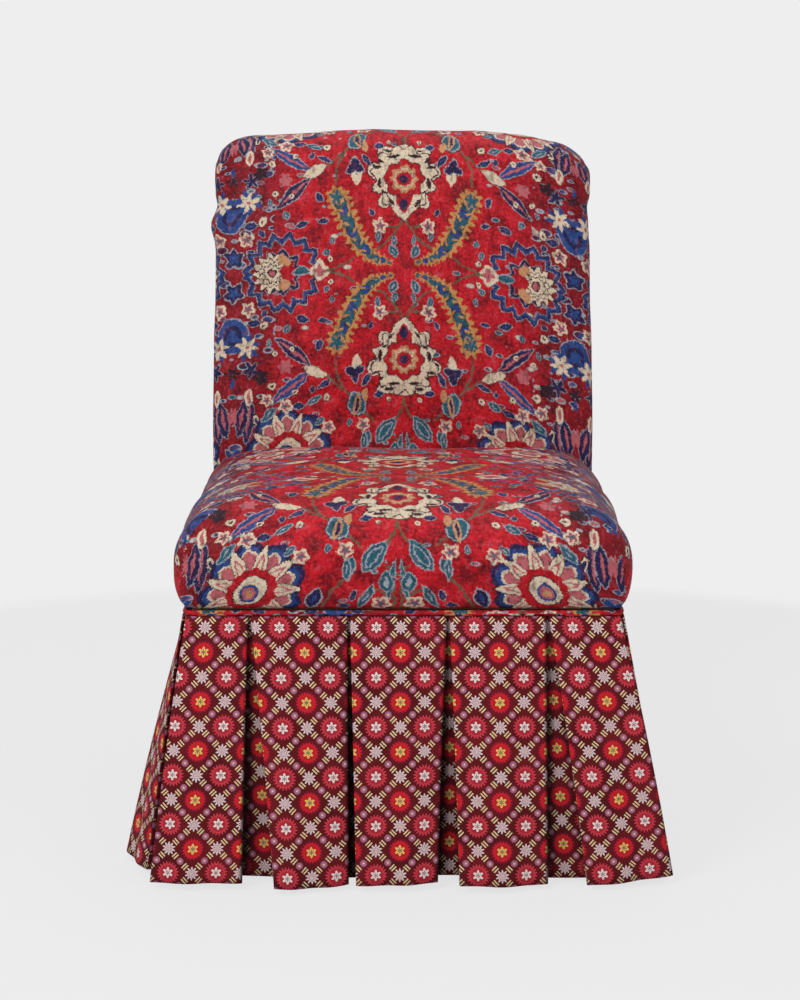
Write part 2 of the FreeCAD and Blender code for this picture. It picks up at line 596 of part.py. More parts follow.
def seat_form(shrink):
    """The seat's crowned form above the ledge, drawn in everywhere by shrink."""
    half, bulge = size("waist_width") / 2, size("seat_bulge")
    front, rear = number(FRONT_Y) + shrink, number(CREVICE_Y) - size("fit_gap") - shrink
    ledge, crown = number(LEDGE_Z), size("crown_height") - shrink
    wires = []
    for level, swell in SEAT_STATIONS:
        out = swell * bulge if swell > 0 else swell * half
        grow = (size("seat_corner") - size("waist_corner")) * min(1, level / SEAT_STATIONS[3][0])
        drawn_in = max(0, -out)
        radius = size("waist_corner") + grow + drawn_in * 0.2 - shrink * 0.5
        rear_in = drawn_in * REAR_SHARE
        rear_radius = size("waist_corner") + rear_in * 0.5 - shrink * 0.5
        z = ledge + level * (crown - ledge)
        wires.append(rounded_plan(half - shrink + out, front - out, rear - rear_in, radius,
                                  rear_radius, z))
    return Part.makeLoft(wires, True, True)


def band(shrink, front, rear, bottom, top):
    """The straight part of a cover below the ledge, where it is pulled down over the rails."""
    half = size("waist_width") / 2 - shrink
    corner = size("waist_corner") - shrink
    plan = Part.Face(rounded_plan(half, front, rear, corner, corner, bottom))
    return plan.extrude(V(0, 0, top - bottom))


ledge, band_low = number(LEDGE_Z), number(BAND_BOTTOM)
thick, gap = size("cover_thickness"), size("fit_gap")
front_y, crevice_y, rear_y = number(FRONT_Y), number(CREVICE_Y), number(REAR_Y)
waist_half, frame_half = size("waist_width") / 2, number(FRAME_HALF)
seat_rear = crevice_y - gap
ring = band(0, front_y, seat_rear, band_low, ledge).cut(
    band(thick, front_y + thick, seat_rear + 20, band_low - 1, ledge + 1))
post_rear = number(POST_REAR)
deck_top = clip_top + size("burlap_sheet") + gap
passage = arched_slab(-60, 60 + deck_top, frame_half + gap, seat_rear - 10, post_rear)
seat_cover = seat_form(0).cut(seat_form(thick)).fuse(ring).cut(passage)
finish(solid_feature("seat_velvet", seat_cover), "seat_cover")
seat_bed = arched_slab(-60, 60 + deck_top, waist_half + 50, front_y - 30, crevice_y + 30)
finish(solid_feature("seat_pad", seat_form(thick + gap).cut(seat_bed)), "seat_foam")


# Back pad and back cover
def back_profile(x, shrink, side_inset, roll_inset, bottom):
    """Side view of the back at x: crevice, bowed inside back, roll, neck and outside back."""
    lean = math.radians(size("recline"))
    roll = size("roll_radius") - roll_inset - shrink
    centre_y, centre_z = number(ROLL_Y), number(ROLL_Z)
    inset = side_inset + shrink
    front, rear = number(CREVICE_Y) + inset, number(REAR_Y) - inset
    crevice, bend = size("crevice_height"), size("bend_height")
    tangent = V(x, centre_y - roll * math.cos(lean), centre_z + roll * math.sin(lean))
    fold = V(x, front, crevice)
    bow = (fold + tangent) * 0.5 - V(0, size("back_bulge") - side_inset * 0.3, 0)
    slope = number(REAR_SLOPE)
    reach = (rear - centre_y - slope * (bend - centre_z)) / math.hypot(1, slope)
    drop = math.radians(size("neck_angle"))
    if roll > reach:
        drop = math.atan(slope) + math.acos(reach / roll)

    def on_roll(angle):
        return V(x, centre_y + roll * math.cos(angle), centre_z + roll * math.sin(angle))
    start = math.pi - lean
    top, rear_point, neck = math.pi / 2, 0.0, -drop
    edges = [Part.makeLine(V(x, front, bottom), fold),
             Part.Arc(fold, bow, tangent).toShape(),
             Part.Arc(tangent, on_roll((start + top) / 2), on_roll(top)).toShape(),
             Part.Arc(on_roll(top), on_roll((top + rear_point) / 2), on_roll(rear_point)).toShape(),
             Part.Arc(on_roll(rear_point), on_roll(neck / 2), on_roll(neck)).toShape(),
             Part.makeLine(on_roll(neck), V(x, rear, bend)),
             Part.makeLine(V(x, rear, bend), V(x, rear, bottom)),
             Part.makeLine(V(x, rear, bottom), V(x, front, bottom))]
    return Part.Wire(edges)


def round_inset(distance, radius):
    """How far a quarter-round edge of that radius is drawn in, at a distance from its end."""
    reach = max(0.0, radius - distance)
    return radius - math.sqrt(max(0.0, radius * radius - reach * reach))


# Stations from either side of the back: share of the shoulder, and how far above the ledge the
# back's lower edge lies there before it is trimmed level, which draws its sides in to the waist
SIDE_STATIONS = [(0.0, 38), (0.06, 20), (0.2, -2), (0.42, -14), (0.7, -20), (1.0, -20)]


def back_form(shrink, level):
    """The back with its roll: side views lofted across the width, drawn in at both sides and
    trimmed flat at the given height."""
    half = size("back_width") / 2 - shrink
    shoulder = size("roll_shoulder")
    wires = []
    for sign in (-1, 1):
        for step, tuck in SIDE_STATIONS[::-sign]:
            distance = step * shoulder
            x = sign * (half - distance)
            crown = size("roll_crown") * (x / half) ** 2
            side_inset = round_inset(distance + 0.7, size("side_rounding"))
            roll_inset = round_inset(distance + shoulder * 0.04, shoulder) * 0.86 + crown
            wires.append(back_profile(x, shrink, side_inset, roll_inset, number(LEDGE_Z) + tuck))
        if sign < 0:
            wires.append(back_profile(0, shrink, 0, 0, number(LEDGE_Z) - 20))
    trim = Part.makeBox(4 * half, 4 * half, 2 * half, V(-2 * half, -2 * half, level - 2 * half))
    return Part.makeLoft(wires, True, True).cut(trim)


def side_prism(points, half_width):
    """A prism across the chair from a side view given as Y, Z pairs."""
    corners = [V(-half_width, y, z) for y, z in points]
    return Part.Face(Part.makePolygon(corners + corners[:1])).extrude(V(2 * half_width, 0, 0))


def frame_line(y_at_bend, slope, z):
    return y_at_bend + max(0.0, z - size("bend_height")) * slope


back_skin = back_form(0, ledge).cut(back_form(thick, ledge))
back_ring = band(0, crevice_y - 20, rear_y, band_low, ledge).cut(
    band(thick, crevice_y - 21, rear_y + 20, band_low - 1, ledge + 1)).cut(
    Part.makeBox(2 * waist_half, 20, ledge, V(-waist_half, crevice_y - 20, 0)))
neck_z, rear_slope = number(NECK_Z), number(REAR_SLOPE)
panel_top = neck_z - thick
panel_front = number(POST_REAR) + gap
window_half = size("back_width") / 2 - size("side_rounding")
window = side_prism([(panel_front - gap, band_low - 2), (panel_front - gap, size("bend_height")),
                     (frame_line(panel_front - gap, rear_slope, panel_top + gap), panel_top + gap),
                     (frame_line(panel_front, rear_slope, panel_top) + 40, panel_top + gap),
                     (panel_front + 40, band_low - 2)], window_half)
back_cover = back_skin.fuse(back_ring).cut(window).cut(passage)
finish(solid_feature("back_velvet", back_cover), "back_cover")

burlap_front = -(2 * size("strap_sheet") + size("burlap_sheet") + 4 * gap)
lean_slope = number(LEAN)
post_front = number(POST_FRONT)
pad_top = number(POST_TOP) + gap
envelope = side_prism([(post_front + burlap_front, ledge - 20),
                       (post_front + burlap_front, size("bend_height")),
                       (frame_line(post_front + burlap_front, lean_slope, pad_top), pad_top),
                       (frame_line(post_rear + gap, rear_slope, pad_top), pad_top),
                       (frame_line(post_rear + gap, rear_slope, panel_top), panel_top),
                       (frame_line(post_rear, rear_slope, panel_top) + 60, panel_top),
                       (post_rear + 60, ledge - 20)], frame_half + gap)
roll_core = Part.makeCylinder(size("roll_rail_radius") + gap, number(f"2 * {FRAME_HALF}") + 2 * gap,
                              V(-frame_half - gap, number(ROLL_Y), number(ROLL_Z)), V(1, 0, 0))
back_foam = back_form(thick + gap, ledge + thick + gap).cut(envelope).cut(roll_core).cut(passage)
finish(solid_feature("back_pad", back_foam), "back_foam")

# Outside back panel, webbing and burlap of the back
panel_face = f"({POST_REAR} + Sizes.fit_gap)"
panel_back = f"({panel_face} + Sizes.cover_thickness)"
PANEL_TOP = f"({NECK_Z} - Sizes.cover_thickness)"
panel_rise = f"(({PANEL_TOP} - Sizes.bend_height) * {REAR_SLOPE})"
outside_back = outline_body("outside_back_sheet", "YZ_Plane",
                            [(panel_face, BAND_BOTTOM), (panel_back, BAND_BOTTOM),
                             (panel_back, "Sizes.bend_height"),
                             (f"{panel_back} + {panel_rise}", PANEL_TOP),
                             (f"{panel_face} + {panel_rise}", PANEL_TOP),
                             (panel_face, "Sizes.bend_height")],
                            "Sizes.back_width - 2 * Sizes.side_rounding - 2 * Sizes.fit_gap")
finish(outside_back, "outside_back_panel")

web_run = f"({CREST_MIDDLE} + Sizes.crest_height / 4 + Sizes.fit_gap - {STAY_LOW})"
uprights = []
for index in range(UPRIGHT_STRAPS):
    share = (index + 0.5) / UPRIGHT_STRAPS - 0.5
    left = f"{between_posts} * {share} - Sizes.strap_width / 2"
    uprights.append(leaning_box(f"upright_{index}", left, "-Sizes.strap_sheet - Sizes.fit_gap",
                                STAY_LOW, ("Sizes.strap_width", "Sizes.strap_sheet", web_run)))
finish(compound("uprights", uprights), "back_webbing_upright")
crosses = []
for index in range(CROSS_STRAPS):
    share = (index + 1) / (CROSS_STRAPS + 1)
    open_run = f"({CREST_MIDDLE} - Sizes.crest_height / 2 - {STAY_BASE} - Sizes.stay_height)"
    along = f"{STAY_BASE} + Sizes.stay_height + {open_run} * {share} - Sizes.strap_width / 2"
    crosses.append(leaning_box(f"cross_{index}", f"-{FRAME_HALF} + Sizes.fit_gap",
                               "-2 * Sizes.strap_sheet - 2 * Sizes.fit_gap", along,
                               (f"2 * ({FRAME_HALF} - Sizes.fit_gap)", "Sizes.strap_sheet",
                                "Sizes.strap_width")))
finish(compound("crosses", crosses), "back_webbing_cross")
back_burlap = leaning_box("back_burlap_sheet", f"-{FRAME_HALF} + Sizes.fit_gap",
                          "-2 * Sizes.strap_sheet - Sizes.burlap_sheet - 3 * Sizes.fit_gap", STAY_LOW,
                          (f"2 * ({FRAME_HALF} - Sizes.fit_gap)", "Sizes.burlap_sheet", web_run))
finish(back_burlap, "back_burlap")

# Dust cover, notched round the legs and posts
leg_out = f"({FRAME_HALF} - Sizes.leg_width - Sizes.fit_gap)"
post_out = f"({FRAME_HALF} - Sizes.post_thickness - Sizes.fit_gap)"
edge_out = f"({FRAME_HALF} - Sizes.fit_gap)"
notch_front = f"({FRAME_FRONT} + Sizes.leg_width + Sizes.fit_gap)"
notch_rear = f"({POST_FRONT} - Sizes.fit_gap)"
far_front, far_rear = f"({FRAME_FRONT} + Sizes.fit_gap)", f"({POST_REAR} - Sizes.fit_gap)"
right_side = [(leg_out, far_front), (leg_out, notch_front), (edge_out, notch_front),
              (edge_out, notch_rear), (post_out, notch_rear), (post_out, far_rear)]
left_side = [(f"-{a}", b) for a, b in reversed(right_side)]
dust = outline_body("dust_sheet", "XY_Plane", right_side + left_side, "Sizes.dust_sheet")
dust.setExpression("Placement.Base.z", f"{dust_top} - Sizes.dust_sheet / 2")
drilled("dust_cover", dust)

# Welt cord round the waist
welt_out = size("welt_radius") + gap
welt_corner = size("waist_corner") + welt_out
welt_path = rounded_plan(waist_half + welt_out, front_y - welt_out, rear_y + welt_out,
                         welt_corner, welt_corner, size("welt_height"))
welt_start = welt_path.Edges[0]
welt_ring = Part.Wire(Part.makeCircle(size("welt_radius"),
                                      welt_start.valueAt(welt_start.FirstParameter),
                                      welt_start.tangentAt(welt_start.FirstParameter)))
finish(solid_feature("welt", welt_path.makePipeShell([welt_ring], True, False)), "welt_cord")


# Pleated skirt
class Fold:
    """One corner of the skirt's line: along the side and out from the waist, at top and at hem.
    bow is how far the stretch that follows it bows outwards at the hem."""

    def __init__(self, top, hem, bow=0.0):
        self.top, self.hem, self.bow = top, hem, bow

    def at(self, share):
        return tuple(a + (b - a) * share for a, b in zip(self.top, self.hem))


def skirt_folds(half, pleats, gapes, panels, under_out, corner_hems, corner_out):
    """The skirt's line for one side, from its left end to its right end. pleats are places along
    the side and gapes where each pleat's two edges end at the hem, measured from there. panels
    are the distances out of each panel's left and right edge at the hem, under_out that of the
    cloth folded under. corner_hems says how far the end panels' edges spread at the hem, and
    corner_out how far out the neighbouring sides' folded cloth hangs."""
    inner = number(SKIRT_BASE)
    layer, under = size("skirt_layer"), size("pleat_under")
    middle, outer = inner + layer, inner + 2 * layer
    slit = size("skirt_cloth") / 2 + size("fit_gap")
    left_end, right_end = corner_hems
    folds = [Fold((-half - inner + slit, inner), (-half - corner_out + slit, under_out)),
             Fold((-half + under, inner), (-half + under - left_end / 4, under_out)),
             Fold((-half + under, middle), (-half + under - left_end / 4, under_out + layer)),
             Fold((-half - inner, middle), (-half - left_end, panels[0][0] - layer)),
             Fold((-half - inner, outer), (-half - left_end, panels[0][0]), size("panel_bow"))]
    for index, (place, (gape_left, gape_right)) in enumerate(zip(pleats, gapes)):
        centre = place + (gape_left + gape_right) / 2
        edge_left, edge_right = place - slit + gape_left, place + slit + gape_right
        right_out, left_out = panels[index][1], panels[index + 1][0]
        folds += [Fold((place - slit, outer), (edge_left, right_out)),
                  Fold((place - slit, middle), (edge_left, right_out - layer)),
                  Fold((place - under, middle), (centre - under, under_out + layer)),
                  Fold((place - under, inner), (centre - under, under_out)),
                  Fold((place + under, inner), (centre + under, under_out)),
                  Fold((place + under, middle), (centre + under, under_out + layer)),
                  Fold((place + slit, middle), (edge_right, left_out - layer)),
                  Fold((place + slit, outer), (edge_right, left_out), size("panel_bow"))]
    folds += [Fold((half + inner, outer), (half + right_end, panels[-1][1])),
              Fold((half + inner, middle), (half + right_end, panels[-1][1] - layer)),
              Fold((half - under, middle), (half - under + right_end / 4, under_out + layer)),
              Fold((half - under, inner), (half - under + right_end / 4, under_out)),
              Fold((half + inner - slit, inner), (half + corner_out - slit, under_out))]
    return folds


def offset_line(points, distance):
    """The line moved sideways by distance, with mitred corners."""
    moved_points = []
    for index, point in enumerate(points):
        normals = []
        for a, b in ((index - 1, index), (index, index + 1)):
            if a >= 0 and b < len(points):
                along = (points[b][0] - points[a][0], points[b][1] - points[a][1])
                length = math.hypot(*along)
                normals.append((-along[1] / length, along[0] / length))
        total = [sum(n[0] for n in normals), sum(n[1] for n in normals)]
        scale = distance * len(normals) / (total[0] ** 2 + total[1] ** 2)
        if len(normals) == 1:
            scale = distance
        moved_points.append((point[0] + total[0] * scale, point[1] + total[1] * scale))
    return moved_points


def skirt_section(folds, share, z, place):
    """The closed outline of the cloth at one height. place turns side and out into X, Y."""
    line = [fold.at(share) for fold in folds]
    half_cloth = size("skirt_cloth") / 2
    edges = []
    for sign in (1, -1):
        shifted = offset_line(line, sign * half_cloth)
        stretches = list(zip(shifted, shifted[1:], [fold.bow * share for fold in folds]))
        if sign < 0:
            stretches = [(b, a, bow) for a, b, bow in reversed(stretches)]
        for a, b, bow in stretches:
            first, last = place(*a, z), place(*b, z)
            if bow > 0:
                crest_point = place((a[0] + b[0]) / 2, (a[1] + b[1]) / 2 + bow, z)
                edges.append(Part.Arc(first, crest_point, last).toShape())
            else:
                edges.append(Part.makeLine(first, last))
        if sign > 0:
            turn = offset_line(line, -half_cloth)
            edges.append(Part.makeLine(place(*shifted[-1], z), place(*turn[-1], z)))
    shifted, turn = offset_line(line, half_cloth), offset_line(line, -half_cloth)
    edges.append(Part.makeLine(place(*turn[0], z), place(*shifted[0], z)))
    return Part.Wire(edges)


# Share of the flare reached at each share of the drop, from the waist down
FLARE_STEPS = [(0.0, 0.0), (0.45, 0.6), (1.0, 1.0)]


def skirt_side(name, folds, place):
    top, hem = number(SKIRT_TOP), size("hem_height")
    wires = [skirt_section(folds, flare, top - drop * (top - hem), place)
             for drop, flare in FLARE_STEPS]
    finish(solid_feature(name + "_cloth", Part.makeLoft(wires, True, True)), name)


def spread(pitch, shift=0.0):
    """Places of the four pleats of one side."""
    return [pitch * step + shift for step in (-1.5, -0.5, 0.5, 1.5)]


# Where the cloth hangs at the hem, as shares of the flare of its side
UNDER_SHARE = 0.36
FRONT_PANELS = [(0.74, 0.72), (0.985, 0.56), (0.7, 0.66), (0.86, 0.6), (0.76, 0.44)]
SIDE_PANELS = [(0.9, 0.86), (0.94, 0.86), (0.96, 0.88), (0.94, 0.86), (0.92, 0.9)]
REAR_PANELS = [(0.8, 0.86), (0.94, 0.86), (0.96, 0.88), (0.94, 0.86), (0.92, 0.8)]
FRONT_GAPES = [(-6, 30), (-1, 6), (-11, 11), (2, 44)]
SIDE_GAPES = [(-8, 14), (-6, 10), (-10, 12), (-6, 14)]
FRONT_SHIFT = -0.05
front_flare, side_flare, rear_flare = size("front_flare"), size("side_flare"), size("rear_flare")
side_half, side_middle = (rear_y - front_y) / 2, (rear_y + front_y) / 2


def hem_outs(shares, flare):
    return [(left * flare, right * flare) for left, right in shares]


front_pitch, side_pitch = size("front_pitch"), size("side_pitch")
front_under = UNDER_SHARE * front_flare
side_under = UNDER_SHARE * side_flare
rear_under = UNDER_SHARE * rear_flare
front_folds = skirt_folds(waist_half, spread(front_pitch, FRONT_SHIFT * front_pitch), FRONT_GAPES,
                          hem_outs(FRONT_PANELS, front_flare), front_under,
                          (size("left_spread"), size("right_spread")), side_under)
skirt_side("skirt_front", front_folds, lambda u, d, z: V(u, front_y - d, z))
side_outs = hem_outs(SIDE_PANELS, side_flare)
near_end, far_end = size("side_spread"), size("side_spread") / 2
left_folds = skirt_folds(side_half, spread(side_pitch), SIDE_GAPES, side_outs, side_under,
                         (far_end, near_end), front_under)
skirt_side("skirt_left", left_folds, lambda u, d, z: V(-waist_half - d, side_middle - u, z))
right_folds = skirt_folds(side_half, spread(side_pitch), SIDE_GAPES, side_outs, side_under,
                          (near_end, far_end), front_under)
skirt_side("skirt_right", right_folds, lambda u, d, z: V(waist_half + d, side_middle + u, z))
rear_folds = skirt_folds(waist_half, spread(front_pitch), SIDE_GAPES,
                         hem_outs(REAR_PANELS, rear_flare), rear_under,
                         (size("left_spread"), size("left_spread")), side_under)
skirt_side("skirt_rear", rear_folds, lambda u, d, z: V(-u, rear_y + d, z))

# Cardboard tack strips behind the skirt's top edge
strip_low = f"({SKIRT_TOP} - Sizes.strip_height)"
strip_sizes = ("Sizes.strip_sheet", "Sizes.strip_height")
strip_width = "(Sizes.waist_width - 2 * Sizes.waist_corner)"
strip_length = f"({REAR_Y} - {FRONT_Y} - 2 * Sizes.waist_corner)"
strips = [
    box("strip_front", (f"-{strip_width} / 2", f"{FRONT_Y} - Sizes.fit_gap - Sizes.strip_sheet", strip_low),
        (strip_width, *strip_sizes)),
    box("strip_rear", (f"-{strip_width} / 2", f"{REAR_Y} + Sizes.fit_gap", strip_low),
        (strip_width, *strip_sizes)),
    box("strip_left", ("-Sizes.waist_width / 2 - Sizes.fit_gap - Sizes.strip_sheet",
                       f"{FRONT_Y} + Sizes.waist_corner", strip_low),
        ("Sizes.strip_sheet", strip_length, "Sizes.strip_height")),
    box("strip_right", ("Sizes.waist_width / 2 + Sizes.fit_gap",
                        f"{FRONT_Y} + Sizes.waist_corner", strip_low),
        ("Sizes.strip_sheet", strip_length, "Sizes.strip_height"))]
finish(compound("strips", strips), "skirt_tack_strips")

# Rebuild, check and write
doc.recompute()
for item in doc.Objects:
    if any(word in item.State for word in ("Invalid", "Error")):
        raise RuntimeError(f"{item.Name} ({item.Label}) failed: {item.State}")
for item in finished:
    if item.Shape.isNull() or not item.Shape.isValid() or item.Shape.Volume <= 0:
        raise RuntimeError(f"{item.Label} has no valid solid")
os.makedirs("parts", exist_ok=True)
for item in finished:
    item.Shape.exportStep(f"parts/{item.Label}.step")
    extent = item.Shape.BoundBox
    print(f"{item.Label}: {len(item.Shape.Solids)} solid(s), {item.Shape.Volume / 1000:.1f} cm3, "
          f"X {extent.XMin:.1f}..{extent.XMax:.1f} Y {extent.YMin:.1f}..{extent.YMax:.1f} "
          f"Z {extent.ZMin:.1f}..{extent.ZMax:.1f}")
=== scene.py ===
"""Slipper chair: its velvet covers, pleated skirt and the finishes of its frame. Lengths are metres."""

import math

import bmesh
import bpy
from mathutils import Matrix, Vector, noise


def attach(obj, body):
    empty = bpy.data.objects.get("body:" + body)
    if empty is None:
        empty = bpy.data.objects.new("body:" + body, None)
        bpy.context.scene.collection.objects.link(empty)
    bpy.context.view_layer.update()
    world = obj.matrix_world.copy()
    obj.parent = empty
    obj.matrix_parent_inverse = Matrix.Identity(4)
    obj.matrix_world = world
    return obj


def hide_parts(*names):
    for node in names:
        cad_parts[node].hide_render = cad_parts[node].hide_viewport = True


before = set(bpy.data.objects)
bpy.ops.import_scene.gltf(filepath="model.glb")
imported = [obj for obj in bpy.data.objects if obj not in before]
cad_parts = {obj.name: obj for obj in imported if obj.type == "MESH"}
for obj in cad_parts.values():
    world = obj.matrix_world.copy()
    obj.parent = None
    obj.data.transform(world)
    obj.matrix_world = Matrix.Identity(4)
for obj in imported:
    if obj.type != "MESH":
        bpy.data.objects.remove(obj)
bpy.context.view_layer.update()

# Places and sizes taken from the chair's frame, places as Y and Z
CREVICE = (0.1866, 0.473)
WAIST_FRONT = -0.3304
WAIST_HALF = 0.266
REAR = 0.2854
LEDGE = 0.3513
WELT_HEIGHT, WELT_RADIUS = 0.3475, 0.0035
BACK_HALF = 0.275
ROLL_CENTRE, ROLL_RADIUS = (0.3134, 0.868), 0.067
RECLINE = math.radians(8.5)
NECK_ANGLE = math.radians(70)
BEND_HEIGHT = 0.395
SKIRT_TOP, HEM = 0.3437, 0.009

# One knot of the velvet, the unit that its pattern is drawn in
KNOT = 0.00146


# Shader maths
def dye(red, green, blue):
    """A colour written as the screen shows it, as the linear colour that a shader takes."""
    def linear(part):
        part /= 255
        return part / 12.92 if part <= 0.04045 else ((part + 0.055) / 1.055) ** 2.4
    return (linear(red), linear(green), linear(blue), 1.0)


class Tone:
    """One socket of a material: a number, a place or a colour that varies over the surface."""

    def __init__(self, tree, socket):
        self.tree = tree
        self.socket = socket

    def node(self, kind, settings, inputs, outlet=0):
        made = self.tree.nodes.new(kind)
        for name, value in settings.items():
            if name == "stops":
                ramp = made.color_ramp
                while len(ramp.elements) < len(value):
                    ramp.elements.new(1.0)
                for element, (place, colour) in zip(ramp.elements, value):
                    element.position = place
                    element.color = colour
            else:
                setattr(made, name, value)
        for name, value in inputs.items():
            if isinstance(value, Tone):
                self.tree.links.new(value.socket, made.inputs[name])
            else:
                made.inputs[name].default_value = value
        return Tone(self.tree, made.outputs[outlet])

    def calc(self, operation, *others):
        inputs = dict(enumerate((self, *others)))
        return self.node("ShaderNodeMath", {"operation": operation}, inputs)

    def __add__(self, other):
        return self.calc("ADD", other)

    def __sub__(self, other):
        return self.calc("SUBTRACT", other)

    def __mul__(self, other):
        return self.calc("MULTIPLY", other)

    def below(self, limit):
        return self.calc("LESS_THAN", limit)

    def above(self, limit):
        return self.calc("GREATER_THAN", limit)

    def least(self, other):
        return self.calc("MINIMUM", other)

    def most(self, other):
        return self.calc("MAXIMUM", other)

    def parts(self):
        made = self.tree.nodes.new("ShaderNodeSeparateXYZ")
        self.tree.links.new(self.socket, made.inputs[0])
        return [Tone(self.tree, socket) for socket in made.outputs]

    def length(self):
        return self.node("ShaderNodeVectorMath", {"operation": "LENGTH"}, {0: self}, "Value")

    def moved(self, other):
        return self.node("ShaderNodeVectorMath", {"operation": "ADD"}, {0: self, 1: other})

    def scaled(self, by):
        return self.node("ShaderNodeVectorMath", {"operation": "MULTIPLY"}, {0: self, 1: by})

    def turned(self, angle):
        inputs = {"Vector": self, "Rotation": (0, 0, angle)}
        return self.node("ShaderNodeMapping", {"vector_type": "TEXTURE"}, inputs)

    def over(self, mask, colour):
        """This colour with another laid on it where mask is 1."""
        return self.node("ShaderNodeMix", {"data_type": "RGBA"}, {0: mask, 6: self, 7: colour}, 2)

    def noise(self, scale, detail, roughness=0.5, outlet=0):
        inputs = {"Vector": self, "Scale": scale, "Detail": detail, "Roughness": roughness}
        return self.node("ShaderNodeTexNoise", {}, inputs, outlet)

    def jitter(self, scale, detail, roughness, reach):
        """A random push to any side, reach from end to end."""
        push = self.noise(scale, detail, roughness, "Color")
        return push.moved((-0.5, -0.5, -0.5)).scaled(reach)

    def ramp(self, *stops):
        return self.node("ShaderNodeValToRGB", {"stops": stops}, {0: self})

    def fade(self, start, end, before, after):
        """A grey that goes from before to after between two values."""
        return self.ramp((start, (before,) * 3 + (1,)), (end, (after,) * 3 + (1,)))


def new_material(name, **finish):
    """A material, a Tone to start its nodes from, and its Principled shader with constant sockets."""
    material = bpy.data.materials.new(name)
    material.use_nodes = True
    tree = material.node_tree
    shader = tree.nodes["Principled BSDF"]
    for socket, value in finish.items():
        shader.inputs[socket.replace("_", " ")].default_value = value
    return material, Tone(tree, None), shader


def connect(shader, **links):
    for socket, tone in links.items():
        tone.tree.links.new(tone.socket, shader.inputs[socket.replace("_", " ")])


def bumped(start, height, distance, strength):
    inputs = {"Height": height, "Distance": distance, "Strength": strength}
    return start.node("ShaderNodeBump", {}, inputs)


def object_place(start):
    return start.node("ShaderNodeTexCoord", {}, {}, "Object")


def cloth_place(start):
    return start.node("ShaderNodeTexCoord", {}, {}, "UV")


# Dyes of the velvet
RED, BRIGHT, DEEP = dye(172, 12, 27), dye(194, 20, 34), dye(118, 8, 20)
MOTTLE, WINE = dye(188, 64, 78), dye(86, 10, 22)
NAVY, BLUE, TEAL = dye(22, 28, 70), dye(24, 66, 126), dye(22, 88, 104)
PALE, CREAM, TAN = dye(150, 156, 164), dye(210, 192, 166), dye(188, 136, 96)
GOLD, PINK, VINE = dye(186, 134, 76), dye(178, 92, 98), dye(104, 84, 64)
DARK = dye(38, 22, 32)

# Knots from the middle of a repeat to its mirrors, across and along
HALF_REPEAT = (170.0, 274.0)


class Drawing:
    """The velvet's pattern, drawn motif by motif in knots from the middle of one mirrored repeat."""

    def __init__(self, across, along, ground):
        self.across, self.along = across, along
        self.paint = ground

    def coat(self, shape, coats):
        for share, colour in coats:
            self.paint = self.paint.over(shape.below(share), colour)

    def local(self, centre, turn=0.0, size=(1.0, 1.0)):
        """Distances along and across a motif's own axis, in units of its size."""
        ahead, aside = Vector((math.cos(turn), math.sin(turn))), Vector((-math.sin(turn), math.cos(turn)))
        axes = []
        for axis, unit in ((ahead, size[0]), (aside, size[1])):
            offset = -axis.dot(Vector(centre)) / unit
            partly = self.across.calc("MULTIPLY_ADD", axis.x / unit, offset)
            axes.append(self.along.calc("MULTIPLY_ADD", axis.y / unit, partly))
        return axes

    def polar(self, centre, turn, size=(1.0, 1.0)):
        """Distance and angle round a motif's centre."""
        ahead, aside = self.local(centre, turn, size)
        square = ahead.calc("MULTIPLY_ADD", ahead, aside * aside)
        return square.calc("SQRT"), aside.calc("ARCTAN2", ahead)

    def oval(self, centre, size, turn, *coats):
        ahead, aside = self.local(centre, turn, size)
        square = ahead.calc("MULTIPLY_ADD", ahead, aside * aside)
        self.coat(square, [(share * share, colour) for share, colour in coats])

    def dot(self, centre, radius, *coats):
        self.oval(centre, (radius, radius), 0.0, *coats)

    def leaf(self, base, tip, half_width, *coats):
        """A lens from base to tip, pointed at both ends."""
        run = Vector(tip) - Vector(base)
        middle = (Vector(tip) + Vector(base)) / 2
        size = (run.length / 2, half_width)
        ahead, aside = self.local(middle, math.atan2(run.y, run.x), size)
        self.coat(ahead.calc("MULTIPLY_ADD", ahead, aside.calc("ABSOLUTE")), coats)

    def stem(self, points, half_width, colour):
        for base, tip in zip(points, points[1:]):
            run = Vector(tip) - Vector(base)
            size = (run.length / 2 + half_width, half_width)
            self.oval((Vector(tip) + Vector(base)) / 2, size, math.atan2(run.y, run.x), (1.1, colour))

    def petals(self, centre, radius, inner, count, turn, *coats):
        """Pointed petals from inner to radius. Each coat is drawn in by its share of the width."""
        reach, around = self.polar(centre, turn, (radius, radius))
        step = math.pi / count
        slope = (1 - inner / radius) / step
        self.coat(around.calc("PINGPONG", step).calc("MULTIPLY_ADD", slope, reach), coats)

    def scallops(self, centre, radius, depth, count, turn, *coats):
        """A round form with lobes, whose coats keep the lobes."""
        reach, around = self.polar(centre, turn, (radius, radius))
        self.coat((around * count).calc("COSINE").calc("MULTIPLY_ADD", -depth, reach), coats)

    def ring(self, centre, inner, outer, teeth, count, turn, *coats):
        """A zigzag band between two radii. Each coat is a share of half the band's width."""
        reach, around = self.polar(centre, turn)
        step = math.pi / count
        zigzag = around.calc("PINGPONG", step).calc("MULTIPLY_ADD", teeth / step, reach)
        from_band = (zigzag - (inner + outer) / 2).calc("ABSOLUTE") * (2 / (outer - inner))
        self.coat(from_band, coats)


